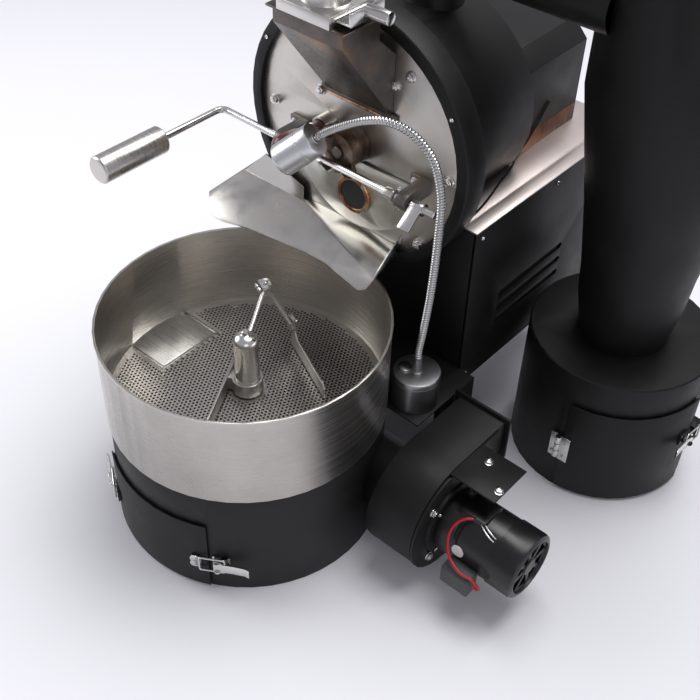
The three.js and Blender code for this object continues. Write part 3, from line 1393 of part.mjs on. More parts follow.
function neckPath() {
  const start = lamp.height + lamp.ferruleLength + gap;
  const straight = 2 * neckRib.crest;
  const end = (distance) => headRear.map((length, axis) => length - distance * headAim[axis]);
  const bends = [[0, 0, start], [0, 0, start + straight], ...neckBends].map(fromLamp);
  const points = [...bends, end(straight + gap), end(gap)].map((point) => new THREE.Vector3(...point));
  return new THREE.CatmullRomCurve3(points, false, 'centripetal');
}

function headTurn(geometry) {
  const turn = new THREE.Quaternion().setFromUnitVectors(
    new THREE.Vector3(0, 0, 1), new THREE.Vector3(...headAim).normalize());
  return geometry.applyQuaternion(turn).translate(...headRear);
}

function lampHead() {
  const { headRadius, headLength, headWall, lensDepth, lensThickness, bevel } = lamp;
  const seat = headLength - lensDepth - lensThickness - gap;
  return headTurn(turned([
    [0, 0], [headRadius - bevel, 0], [headRadius, bevel], [headRadius, headLength - bevel],
    [headRadius - bevel / 2, headLength], [headRadius - headWall, headLength], [headRadius - headWall, seat],
    [headRadius - 2 * headWall, seat], [headRadius - 2 * headWall, headLength / 2], [0, headLength / 2],
  ], 24));
}

function lampLens() {
  const { headRadius, headLength, headWall, lensDepth, lensThickness } = lamp;
  return headTurn(round(headRadius - headWall - gap, lensThickness, 20)
    .translate(0, 0, headLength - lensDepth - lensThickness));
}

function buildLamp() {
  piece('lamp_base', lampBase(), 'aluminium');
  piece('lamp_neck', ribbedHose(neckPath(), neckRib, neckCounts), 'polishedSteel');
  piece('lamp_head', lampHead(), 'aluminium');
  piece('lamp_lens', lampLens(), 'glass');
}

// Cyclone and chaff can; their group stands on the cyclone's axis

const cyclone = new THREE.Group();
cyclone.position.set(cycloneX, cycloneY, 0);
machine.add(cyclone);

const canDoor = {
  fromAngle: -86, toAngle: 0, low: 6, high: 178, gasket: 2.2, gasketInset: 2, rebate: 6, land: 4,
  latchHeight: 108, latchAngle: 5,
};
const canDoorRadius = canRadius + canDoor.gasket + sheet;
const canLatchDepth = 12;
const hinge = {
  angle: -89, out: 5, radius: 4.5, pin: 2, low: 66, knuckle: 14, canLeaf: 12, doorLeaf: 18, canLeafTop: 3,
  doorLeafLow: 2.2, doorLeafTop: 4.4,
};
const cone = {
  foot: 66, wall: 2.5, topRise: 107, outlet: 45, outletRise: 48, outletDrop: 96, lip: 6,
  bends: [[78, 68], [82, 118], [95, 218], [112, 318]], kneeDrop: 120,
};

function hingeKnuckle(i) {
  const low = hinge.low + i * hinge.knuckle + gap;
  return round(hinge.radius, hinge.knuckle - 2 * gap, 10).translate(0, hinge.out, low);
}

function onHinge(geometry) {
  return onCylinder(geometry, canRadius, hinge.angle, 0, -1);
}

function chaffCan() {
  const bead = sheet;
  const hole = cone.foot - cone.lip;
  const shell = turned([
    [0, 0], [canRadius, 0], [canRadius, canHeight - bead], [canRadius - bead, canHeight], [hole, canHeight],
    [hole, canHeight - sheet], [canRadius - sheet, canHeight - sheet], [canRadius - sheet, sheet], [0, sheet],
  ], 36);
  const ends = [0, 2];
  const leaves = ends.map((i) => block(-hinge.canLeaf, 0, -sheet / 2, hinge.canLeafTop,
    hinge.low + i * hinge.knuckle + gap, hinge.low + (i + 1) * hinge.knuckle - gap));
  const pin = round(hinge.pin, 3 * hinge.knuckle - 2 * gap, 12).translate(0, hinge.out, hinge.low + gap);
  const hinged = onHinge(join(...leaves, ...ends.map(hingeKnuckle), pin));
  const keeper = onCylinder(latchKeeper(canLatchDepth), canDoorRadius,
    canDoor.toAngle - canDoor.latchAngle, canDoor.latchHeight, -1);
  const inside = round(canRadius - sheet, canHeight - 2 * sheet, 36).translate(0, 0, sheet);
  return join(cut(shell, coverOpening(canRadius, canDoor)), hinged, cut(keeper, inside));
}

function chaffCanDoor() {
  const { doorLeaf, doorLeafLow, doorLeafTop, low, knuckle, out, pin } = hinge;
  const leaf = block(0, doorLeaf, doorLeafLow, doorLeafTop, low + knuckle + gap, low + 2 * knuckle - gap);
  const bore = round(pin + gap, canHeight, 12).translate(0, out, 0);
  const hinged = onHinge(cut(join(leaf, hingeKnuckle(1)), bore));
  const ears = onCylinder(latchEars(-latch.sink), canDoorRadius, canDoor.toAngle - canDoor.latchAngle,
    canDoor.latchHeight, -1);
  return join(curvedCover(canRadius, canDoor), hinged, ears);
}

// The cyclone with its inlet from the drum's flue, which meets its wall at a tangent.
function cycloneBody() {
  const { foot, wall, bends, kneeDrop, topRise, outlet, outletRise, outletDrop } = cone;
  const low = canHeight + gap;
  const knee = flueHeight - kneeDrop;
  const top = flueHeight + topRise;
  const side = (inset) => [
    ...bends.map(([r, rise]) => [r - inset, canHeight + rise]), [cycloneRadius - inset, knee]];
  const outer = turned([[0, low], [foot, low], ...side(0), [cycloneRadius, top], [0, top]], 26);
  const inner = turned([
    [0, low - overrun], [foot - wall, low - overrun], [foot - wall, low], ...side(wall),
    [cycloneRadius - wall, top - wall], [0, top - wall],
  ], 26);
  const ductX = -cycloneX;
  const ductY = flueY - cycloneY;
  const duct = (radius, start) => join(
    alongX(round(radius, cycloneX - foot, 18)).translate(ductX, ductY, flueHeight),
    round(radius, flueHeight - start, 18).translate(ductX, ductY, start),
    new THREE.SphereGeometry(radius, 18, 10).rotateX(Math.PI / 2).translate(ductX, ductY, flueHeight));
  const ductFoot = flueFoot - flue.overlap;
  const shell = cut(join(outer, duct(flue.radius, ductFoot)), inner,
    duct(flue.radius - wall, ductFoot - overrun),
    round(outlet - wall / 2, 2 * overrun, 24).translate(0, 0, top - overrun));
  const finder = pipe(outlet, outlet - wall, outletDrop + outletRise, 24).translate(0, 0, top - outletDrop);
  return join(shell, finder);
}

function buildCyclone() {
  piece('chaff_can', chaffCan(), 'blackPaint', cyclone);
  piece('chaff_can_door', chaffCanDoor(), 'blackPaint', cyclone);
  piece('cyclone_body', cycloneBody(), 'blackPaint', cyclone);
  const place = (geometry) => onCylinder(geometry, canDoorRadius, canDoor.toAngle - canDoor.latchAngle,
    canDoor.latchHeight, -1);
  piece('can_latch_lever', place(latchLever()), 'polishedSteel', cyclone);
  piece('can_latch_bail', place(latchBail()), 'polishedSteel', cyclone);
}

buildTray();
buildBlower();
buildCabinet();
buildDrum();
buildFeed();
buildDoor();
buildLamp();
buildCyclone();

export default machine;
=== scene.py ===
import json
import math

import bmesh
import bpy
from mathutils import Matrix, Vector


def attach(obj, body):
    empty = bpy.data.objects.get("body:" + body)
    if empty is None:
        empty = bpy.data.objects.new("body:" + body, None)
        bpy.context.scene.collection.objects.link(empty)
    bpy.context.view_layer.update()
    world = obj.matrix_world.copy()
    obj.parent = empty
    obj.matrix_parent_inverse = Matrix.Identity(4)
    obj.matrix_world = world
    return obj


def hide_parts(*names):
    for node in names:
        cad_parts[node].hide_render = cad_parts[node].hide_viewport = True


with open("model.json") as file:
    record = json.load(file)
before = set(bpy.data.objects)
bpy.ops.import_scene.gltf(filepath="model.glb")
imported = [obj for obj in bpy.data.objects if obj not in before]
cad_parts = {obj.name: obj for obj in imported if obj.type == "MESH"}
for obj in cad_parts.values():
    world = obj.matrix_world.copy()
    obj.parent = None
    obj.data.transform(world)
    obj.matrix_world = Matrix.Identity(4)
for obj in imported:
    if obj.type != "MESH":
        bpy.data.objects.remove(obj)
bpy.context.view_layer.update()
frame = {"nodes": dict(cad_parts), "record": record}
scene = bpy.context.scene
record = frame["record"]
bodyOfNode = {node: body for body, names in record["behaviour"]["bodies"].items() for node in names}


def at(x, y, z):
    return Vector((x, y, z)) / 1000.0  # sizes below are written in millimetres


def mm(length):
    return length / 1000.0


# Camera, at the photograph's place and angle

cameraSettings = {"place": (821.3, -757.5, 1296.4), "yaw": 0.697, "pitch": 0.741, "roll": 0.035, "lens": 56.08}


def placeCamera(settings):
    yaw, pitch, roll = settings["yaw"], settings["pitch"], settings["roll"]
    back = Vector((math.sin(yaw) * math.cos(pitch), -math.cos(yaw) * math.cos(pitch), math.sin(pitch)))
    level = Vector((math.cos(yaw), math.sin(yaw), 0))
    upright = back.cross(level)
    right = math.cos(roll) * level + math.sin(roll) * upright
    up = back.cross(right)
    data = bpy.data.cameras.new("camera")
    data.lens = settings["lens"]
    data.sensor_width = 36
    data.clip_start = 0.01
    camera = bpy.data.objects.new("camera", data)
    turn = Matrix((right, up, back)).transposed().to_4x4()
    camera.matrix_world = Matrix.Translation(at(*settings["place"])) @ turn
    scene.collection.objects.link(camera)
    scene.camera = camera


placeCamera(cameraSettings)
scene.view_settings.view_transform = "Standard"
print("camera placed")


# Materials


# A node material with its principled shader, and short ways to add patterns to it
class Finish:
    def __init__(self, name, color, metallic, roughness, specular=0.5):
        self.material = bpy.data.materials.new(name)
        self.material.use_nodes = True
        self.tree = self.material.node_tree
        self.shader = self.tree.nodes["Principled BSDF"]
        self.shader.inputs["Base Color"].default_value = (*color, 1)
        self.shader.inputs["Metallic"].default_value = metallic
        self.shader.inputs["Roughness"].default_value = roughness
        self.shader.inputs["Specular IOR Level"].default_value = specular
        self.coords = self.tree.nodes.new("ShaderNodeTexCoord")

    def link(self, output, target):
        self.tree.links.new(output, target)

    # Noise on the piece's own coordinates; stretch is in turns of the pattern per metre
    def noise(self, stretch, detail=4, rough=0.55):
        mapping = self.tree.nodes.new("ShaderNodeMapping")
        mapping.inputs["Scale"].default_value = stretch
        noise = self.tree.nodes.new("ShaderNodeTexNoise")
        noise.inputs["Scale"].default_value = 1
        noise.inputs["Detail"].default_value = detail
        noise.inputs["Roughness"].default_value = rough
        self.link(self.coords.outputs["Object"], mapping.inputs["Vector"])
        self.link(mapping.outputs["Vector"], noise.inputs["Vector"])
        return noise.outputs["Fac"]

    # The noise keeps mostly between 0.3 and 0.7, and that span is stretched to low and high
    def ranged(self, value, low, high):
        remap = self.tree.nodes.new("ShaderNodeMapRange")
        remap.inputs["From Min"].default_value = 0.3
        remap.inputs["From Max"].default_value = 0.7
        remap.inputs["To Min"].default_value = low
        remap.inputs["To Max"].default_value = high
        self.link(value, remap.inputs["Value"])
        return remap.outputs["Result"]

    def ramp(self, value, stops):
        ramp = self.tree.nodes.new("ShaderNodeValToRGB")
        elements = ramp.color_ramp.elements
        while len(elements) < len(stops):
            elements.new(0.5)
        for element, (place, color) in zip(elements, stops):
            element.position = place
            element.color = (*color, 1)
        self.link(value, ramp.inputs["Fac"])
        return ramp.outputs["Color"]

    def colorFrom(self, output):
        self.link(output, self.shader.inputs["Base Color"])

    def roughnessFrom(self, output):
        self.link(output, self.shader.inputs["Roughness"])

    def bump(self, value, strength, depth):
        bump = self.tree.nodes.new("ShaderNodeBump")
        bump.inputs["Strength"].default_value = strength
        bump.inputs["Distance"].default_value = depth
        self.link(value, bump.inputs["Height"])
        self.link(bump.outputs["Normal"], self.shader.inputs["Normal"])


def shaded(color, share):
    return tuple(min(1, channel * share) for channel in color)


def brushedMetal(name, color, roughness, grain, spread=0.08, tint=None, relief=0.12):
    finish = Finish(name, color, 1, roughness)
    lines = finish.noise(grain, 5, 0.6)
    clouds = finish.noise((9, 9, 9), 3)
    finish.roughnessFrom(finish.ranged(lines, roughness - spread, roughness + spread))
    finish.colorFrom(finish.ramp(clouds, [
        (0.3, shaded(color, 0.88)), (0.55, color), (0.75, tint or shaded(color, 1.06))]))
    finish.bump(lines, relief, mm(0.05))
    return finish.material


# Smooth satin sheet whose faint waves blur and bend what it mirrors
def satinSheet(name, color, roughness, tint, waves=11, depth=0.5):
    finish = Finish(name, color, 1, roughness)
    swell = finish.noise((waves, waves, waves), 2, 0.4)
    smears = finish.noise((26, 26, 26), 4, 0.6)
    finish.colorFrom(finish.ramp(smears, [(0.32, shaded(color, 0.92)), (0.52, color), (0.72, tint)]))
    finish.roughnessFrom(finish.ranged(smears, roughness - 0.04, roughness + 0.08))
    finish.bump(swell, 0.5, mm(depth))
    return finish.material


def blackPaint(name, color, roughness, dust, specular=0.35, grit=900):
    finish = Finish(name, color, 0, roughness, specular)
    grain = finish.noise((grit, grit, grit), 3)
    patches = finish.noise((14, 14, 14), 6, 0.65)
    finish.colorFrom(finish.ramp(patches, [(0.35, color), (0.62, shaded(color, 1.35)), (0.8, dust)]))
    finish.roughnessFrom(finish.ranged(patches, roughness - 0.06, roughness + 0.1))
    finish.bump(grain, 0.25, mm(0.08))
    return finish.material


def heatTinted(name, cold, straw, brown, roughness, scale):
    finish = Finish(name, brown, 0.9, roughness)
    spread = finish.noise((scale, scale, scale), 4, 0.6)
    scuffs = finish.noise((240, 240, 30), 4)
    finish.colorFrom(finish.ramp(spread, [(0.32, cold), (0.47, straw), (0.58, brown), (0.72, shaded(brown, 0.5))]))
    finish.roughnessFrom(finish.ranged(scuffs, roughness - 0.1, roughness + 0.15))
    finish.bump(scuffs, 0.15, mm(0.08))
    return finish.material


def machinedIron(name, color, roughness):
    finish = Finish(name, color, 0.85, roughness)
    grain = finish.noise((320, 320, 320), 5, 0.6)
    stains = finish.noise((28, 28, 28), 4)
    finish.colorFrom(finish.ramp(stains, [(0.3, shaded(color, 0.6)), (0.55, color), (0.75, (0.22, 0.13, 0.07))]))
    finish.roughnessFrom(finish.ranged(grain, roughness - 0.1, roughness + 0.12))
    finish.bump(grain, 0.3, mm(0.12))
    return finish.material


def varnishedWood(name, dark, light, roughness):
    finish = Finish(name, dark, 0, roughness)
    grain = finish.noise((260, 22, 260), 5, 0.6)
    finish.colorFrom(finish.ramp(grain, [(0.32, shaded(dark, 0.6)), (0.5, dark), (0.68, light)]))
    finish.roughnessFrom(finish.ranged(grain, roughness - 0.05, roughness + 0.12))
    finish.bump(grain, 0.2, mm(0.1))
    finish.shader.inputs["Coat Weight"].default_value = 0.3
    return finish.material


def moulded(name, color, roughness, grit=700, relief=0.2, specular=0.5):
    finish = Finish(name, color, 0, roughness, specular)
    grain = finish.noise((grit, grit, grit), 3)
    handling = finish.noise((30, 30, 30), 4)
    finish.colorFrom(finish.ramp(handling, [(0.3, shaded(color, 0.85)), (0.7, shaded(color, 1.12))]))
    finish.roughnessFrom(finish.ranged(handling, roughness - 0.06, roughness + 0.08))
    finish.bump(grain, relief, mm(0.05))
    return finish.material


steel = (0.60, 0.575, 0.54)
finishes = {
    "bandSteel": brushedMetal("bandSteel", (0.585, 0.555, 0.515), 0.29, (2, 2, 1400), tint=(0.62, 0.565, 0.52),
                              relief=0.05),
    "floorSteel": brushedMetal("floorSteel", (0.50, 0.475, 0.445), 0.36, (500, 500, 500), 0.1),
    "plateSteel": satinSheet("plateSteel", (0.60, 0.58, 0.545), 0.31, (0.60, 0.55, 0.49), 9, 0.6),
    "doorSteel": satinSheet("doorSteel", (0.66, 0.655, 0.60), 0.3, (0.66, 0.63, 0.55), 12, 0.3),
    "chuteSteel": satinSheet("chuteSteel", (0.60, 0.585, 0.555), 0.2, (0.60, 0.56, 0.52), 8, 1.1),
    "hoseSteel": satinSheet("hoseSteel", (0.50, 0.50, 0.495), 0.22, (0.56, 0.55, 0.54), 60, 0.05),
    "boltSteel": satinSheet("boltSteel", (0.44, 0.43, 0.40), 0.3, (0.50, 0.47, 0.42), 200, 0.05),
    "sheetSteel": brushedMetal("sheetSteel", (0.66, 0.645, 0.62), 0.3, (3, 900, 3), tint=(0.62, 0.585, 0.54)),
    "bladeSteel": brushedMetal("bladeSteel", (0.52, 0.50, 0.48), 0.36, (40, 40, 900)),
    "brightSteel": brushedMetal("brightSteel", (0.72, 0.71, 0.70), 0.2, (250, 250, 250), 0.07),
    "turnedSteel": brushedMetal("turnedSteel", (0.62, 0.60, 0.57), 0.3, (3, 900, 3), 0.1, relief=0.2),
    "satinAluminium": brushedMetal("satinAluminium", (0.72, 0.73, 0.74), 0.34, (600, 600, 20), 0.04, relief=0.02),
    "lampShell": brushedMetal("lampShell", (0.34, 0.34, 0.35), 0.36, (600, 600, 20), 0.04, relief=0.02),
    "fanAluminium": brushedMetal("fanAluminium", (0.55, 0.56, 0.57), 0.4, (300, 300, 300)),
    "topSheet": brushedMetal("topSheet", (0.78, 0.69, 0.66), 0.42, (900, 4, 900), tint=(0.80, 0.66, 0.60)),
    # Black paint made darker than the tray base's paint, as painted shade on the cabinet, can, drum housing and blower
    # that it covers
    "blackShellPaintedShade": blackPaint("blackShellPaintedShade", (0.006, 0.006, 0.0062), 0.46, (0.013, 0.013, 0.0135), 0.25),
    "blackBase": blackPaint("blackBase", (0.0075, 0.0075, 0.0075), 0.48, (0.018, 0.018, 0.018), 0.3),
    "blackMotor": blackPaint("blackMotor", (0.006, 0.006, 0.0065), 0.3, (0.014, 0.014, 0.015), 0.45, 500),
    "brownSteel": heatTinted("brownSteel", (0.30, 0.18, 0.10), (0.22, 0.10, 0.045), (0.12, 0.05, 0.025), 0.4, 12),
    "copperRing": heatTinted("copperRing", (0.62, 0.52, 0.42), (0.62, 0.36, 0.20), (0.30, 0.13, 0.07), 0.3, 60),
    "strawFlange": heatTinted("strawFlange", (0.24, 0.20, 0.16), (0.13, 0.09, 0.06), (0.06, 0.042, 0.032), 0.36, 28),
    "darkIron": machinedIron("darkIron", (0.17, 0.16, 0.15), 0.42),
    "chuteIron": machinedIron("chuteIron", (0.13, 0.115, 0.105), 0.36),
    "drumIron": machinedIron("drumIron", (0.12, 0.105, 0.095), 0.5),
    "cherryHandle": varnishedWood("cherryHandle", (0.12, 0.014, 0.011), (0.24, 0.035, 0.024), 0.32),
    "greyMoulding": moulded("greyMoulding", (0.045, 0.048, 0.053), 0.45),
    "blackRubber": moulded("blackRubber", (0.012, 0.012, 0.012), 0.75, 400, 0.5, 0.2),
    "redSleeve": moulded("redSleeve", (0.42, 0.006, 0.016), 0.4),
    "whiteLabel": moulded("whiteLabel", (0.75, 0.75, 0.74), 0.45),
    "darkGlass": moulded("darkGlass", (0.035, 0.035, 0.037), 0.12, 200, 0.02),
    "lampGlass": moulded("lampGlass", (0.70, 0.70, 0.66), 0.1, 200, 0.05),
}
print("materials made")


# Floor, backdrop and lamps

studio = {"floor": (0.80, 0.795, 0.835), "floorSize": 9.0, "world": (0.93, 0.93, 1.0), "worldStrength": 0.42}
lampsInStudio = [
    {"name": "overheadLamp", "place": (300, 900, 2800), "aim": (50, 100, 250), "size": 2.2, "power": 74},
    {"name": "leftLamp", "place": (-2300, -900, 1500), "aim": (0, 100, 300), "size": 1.8, "power": 30},
    {"name": "rightLamp", "place": (1900, -1500, 1300), "aim": (200, 100, 250), "size": 1.5, "power": 6},
]


def buildStudio():
    bm = bmesh.new()
    bmesh.ops.create_grid(bm, x_segments=1, y_segments=1, size=studio["floorSize"])
    mesh = bpy.data.meshes.new("studioFloor")
    bm.to_mesh(mesh)
    bm.free()
    floor = bpy.data.objects.new("studioFloor", mesh)
    floor.location.z = -mm(0.2)
    finish = Finish("studioFloor", studio["floor"], 0, 0.6, 0.2)
    soft = finish.noise((0.6, 0.6, 0.6), 2)
    finish.colorFrom(finish.ramp(soft, [(0.3, shaded(studio["floor"], 0.98)), (0.7, shaded(studio["floor"], 1.02))]))
    floor.data.materials.append(finish.material)
    scene.collection.objects.link(floor)
    world = bpy.data.worlds.new("studioWorld")
    world.use_nodes = True
    background = world.node_tree.nodes["Background"]
    background.inputs["Color"].default_value = (*studio["world"], 1)
    background.inputs["Strength"].default_value = studio["worldStrength"]
    scene.world = world
    for lamp in lampsInStudio:
        data = bpy.data.lights.new(lamp["name"], "AREA")
        data.shape = "DISK"
        data.size = lamp["size"]
        data.energy = lamp["power"]
        source = bpy.data.objects.new(lamp["name"], data)
        source.location = at(*lamp["place"])
        source.rotation_euler = (at(*lamp["aim"]) - source.location).to_track_quat("-Z", "Y").to_euler()
        scene.collection.objects.link(source)


buildStudio()
print("studio built")


# Ways of making pieces


# Links the bmesh to its body; the CAD nodes it replaces are hidden
def addPiece(bm, name, finish, body, replaced=(), sharpAngle=32):
    mesh = bpy.data.meshes.new(name)
    bm.to_mesh(mesh)
    bm.free()
    for face in mesh.polygons:
        face.use_smooth = True
    mesh.set_sharp_from_angle(angle=math.radians(sharpAngle))
    mesh.materials.append(finishes[finish])
    piece = bpy.data.objects.new(name, mesh)
    scene.collection.objects.link(piece)
    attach(piece, body)
    if replaced:
        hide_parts(*replaced)


# Rounds every edge that turns by more than angle
def bevelSharp(bm, width, angle=28):
    edges = [e for e in bm.edges if len(e.link_faces) == 2 and e.calc_face_angle(0) > math.radians(angle)]
    if edges:
        bmesh.ops.bevel(bm, geom=edges, offset=width, offset_type="OFFSET", affect="EDGES", segments=2,
                        profile=0.5, material=-1, clamp_overlap=True)


def pieceNameOf(node):
    first, *others = node.split("_")
    return first + "".join(word.capitalize() for word in others)


# Stands a smoothed and edge-rounded copy in for a CAD node whose shape is right
def dressNode(node, finish, bevel=0.0, sharpAngle=32):
    bm = bmesh.new()
    bm.from_mesh(frame["nodes"][node].data)
    bmesh.ops.remove_doubles(bm, verts=bm.verts, dist=mm(0.01))
    bmesh.ops.dissolve_limit(bm, angle_limit=math.radians(0.6), verts=bm.verts, edges=bm.edges)
    if bevel:
        bevelSharp(bm, mm(bevel))
    addPiece(bm, pieceNameOf(node), finish, bodyOfNode[node], [node], sharpAngle)


# A bmesh spun about Z from (radius, height) pairs in millimetres
def turnedShape(profile, steps=96):
    bm = bmesh.new()
    verts = [bm.verts.new(at(r, 0, z)) for r, z in profile]
    edges = [bm.edges.new(pair) for pair in zip(verts, verts[1:])]
    bmesh.ops.spin(bm, geom=verts + edges, cent=(0, 0, 0), axis=(0, 0, 1), angle=math.tau, steps=steps,
                   use_merge=True)
    bmesh.ops.remove_doubles(bm, verts=bm.verts, dist=mm(0.01))
    bmesh.ops.recalc_face_normals(bm, faces=bm.faces)
    return bm


def turnTo(direction):
    return Vector(direction).to_track_quat("Z", "Y").to_matrix().to_4x4()


def moved(bm, direction=(0, 0, 1), place=(0, 0, 0)):
    bm.transform(Matrix.Translation(at(*place)) @ turnTo(direction))
    return bm


# One bmesh holding all the shapes
def merged(shapes):
    whole = bmesh.new()
    for bm in shapes:
        mesh = bpy.data.meshes.new("part")
        bm.to_mesh(mesh)
        bm.free()
        whole.from_mesh(mesh)
        bpy.data.meshes.remove(mesh)
    return whole


# A round bar standing on z = 0, with rounded rims
def drum(radius, height, segments=32, bevel=0.0):
    bm = bmesh.new()
    bmesh.ops.create_cone(bm, cap_ends=True, segments=segments, radius1=mm(radius), radius2=mm(radius),
                          depth=mm(height))
    bmesh.ops.translate(bm, verts=bm.verts, vec=at(0, 0, height / 2))
    if bevel:
        bevelSharp(bm, mm(bevel), 40)
    return bm


def slab(low, high, bevel=0.5):
    bm = bmesh.new()
    bmesh.ops.create_cube(bm, size=1)
    size = at(*high) - at(*low)
    bmesh.ops.scale(bm, vec=size, verts=bm.verts)
    bmesh.ops.translate(bm, verts=bm.verts, vec=(at(*low) + at(*high)) / 2)
    if bevel:
        bevelSharp(bm, mm(bevel))
    return bm


# Radius, height, segments and bevel of each round of a hexagon bolt, and its tip's foot, in shares of its thread
boltShares = {"washer": (1.15, 0.25, 24, 0.05), "head": (0.92, 0.65, 6, 0.08), "tip": (0.5, 0.3, 16, 0.08),
              "tipFoot": 0.6}


# A hexagon head over its washer, for a thread of the given size
def hexBolt(size, spot, direction, washer=True):
    def shareRound(name):
        radius, height, segments, bevel = boltShares[name]
        return drum(size * radius, size * height, segments, size * bevel)

    shapes = []
    rise = 0
    if washer:
        shapes.append(moved(shareRound("washer")))
        rise = size * boltShares["washer"][1]
    head, tip = shareRound("head"), shareRound("tip")
    bmesh.ops.translate(head, verts=head.verts, vec=at(0, 0, rise))
    bmesh.ops.translate(tip, verts=tip.verts, vec=at(0, 0, rise + size * boltShares["tipFoot"]))
    return moved(merged(shapes + [head, tip]), direction, spot)


# A low round head with a hexagon socket in it
def socketScrew(radius, spot, direction):
    bm = drum(radius, radius * 0.7, 20, radius * 0.2)
    top = max(bm.faces, key=lambda face: face.calc_center_median().z)
    bmesh.ops.inset_region(bm, faces=[top], thickness=mm(radius * 0.35), use_even_offset=True)
    bmesh.ops.translate(bm, verts=top.verts, vec=at(0, 0, -radius * 0.4))
    return moved(bm, direction, spot)


# A round wire through points in millimetres, made from a curve
def wireShape(points, radius, closed=False, sides=3):
    curve = bpy.data.curves.new("wire", "CURVE")
    curve.dimensions = "3D"
    curve.bevel_depth = mm(radius)
    curve.bevel_resolution = sides
    curve.use_fill_caps = True
    spline = curve.splines.new("POLY")
    spline.points.add(len(points) - 1)
    for knot, point in zip(spline.points, points):
        knot.co = (*at(*point), 1)
    spline.use_cyclic_u = closed
    holder = bpy.data.objects.new("wire", curve)
    scene.collection.objects.link(holder)
    mesh = bpy.data.meshes.new_from_object(holder)
    bm = bmesh.new()
    bm.from_mesh(mesh)
    bpy.data.objects.remove(holder)
    bpy.data.curves.remove(curve)
    bpy.data.meshes.remove(mesh)
    bmesh.ops.remove_doubles(bm, verts=bm.verts, dist=mm(0.005))
    bmesh.ops.recalc_face_normals(bm, faces=bm.faces)
    return bm


# Points along a centripetal curve through the given ones
def smoothRoute(points, steps=10):
    route = [Vector(p) for p in points]
    ends = [2 * route[0] - route[1]] + route + [2 * route[-1] - route[-2]]
    result = []
    for i in range(1, len(ends) - 2):
        p0, p1, p2, p3 = ends[i - 1:i + 3]
        t0 = 0.0
        t1 = t0 + (p1 - p0).length ** 0.5
        t2 = t1 + (p2 - p1).length ** 0.5
        t3 = t2 + (p3 - p2).length ** 0.5
        for step in range(steps):
            t = t1 + (t2 - t1) * step / steps
            a1 = p0 * ((t1 - t) / (t1 - t0)) + p1 * ((t - t0) / (t1 - t0))
            a2 = p1 * ((t2 - t) / (t2 - t1)) + p2 * ((t - t1) / (t2 - t1))
            a3 = p2 * ((t3 - t) / (t3 - t2)) + p3 * ((t - t2) / (t3 - t2))
            b1 = a1 * ((t2 - t) / (t2 - t0)) + a2 * ((t - t0) / (t2 - t0))
            b2 = a2 * ((t3 - t) / (t3 - t1)) + a3 * ((t - t1) / (t3 - t1))
            result.append(b1 * ((t2 - t) / (t2 - t1)) + b2 * ((t - t1) / (t2 - t1)))
    result.append(route[-1])
    return result


# The same route with points at even spacing
def evenRoute(route, spacing):
    result = [route[0].copy()]
    carry = 0.0
    for start, end in zip(route, route[1:]):
        length = (end - start).length
        along = spacing - carry
        while along <= length:
            result.append(start.lerp(end, along / length))
            along += spacing
        carry = length - (along - spacing)
    return result


# Cooling tray

trayFloorSettings = {"radius": 197.6, "top": 201, "sheet": 1.6, "pitch": 6.0, "web": 1.35, "rim": 6.5,
                     "gateInner": -122.7, "gateHalf": 50.3, "gateRim": 4, "postRadius": 27, "shaftHole": 6.8}


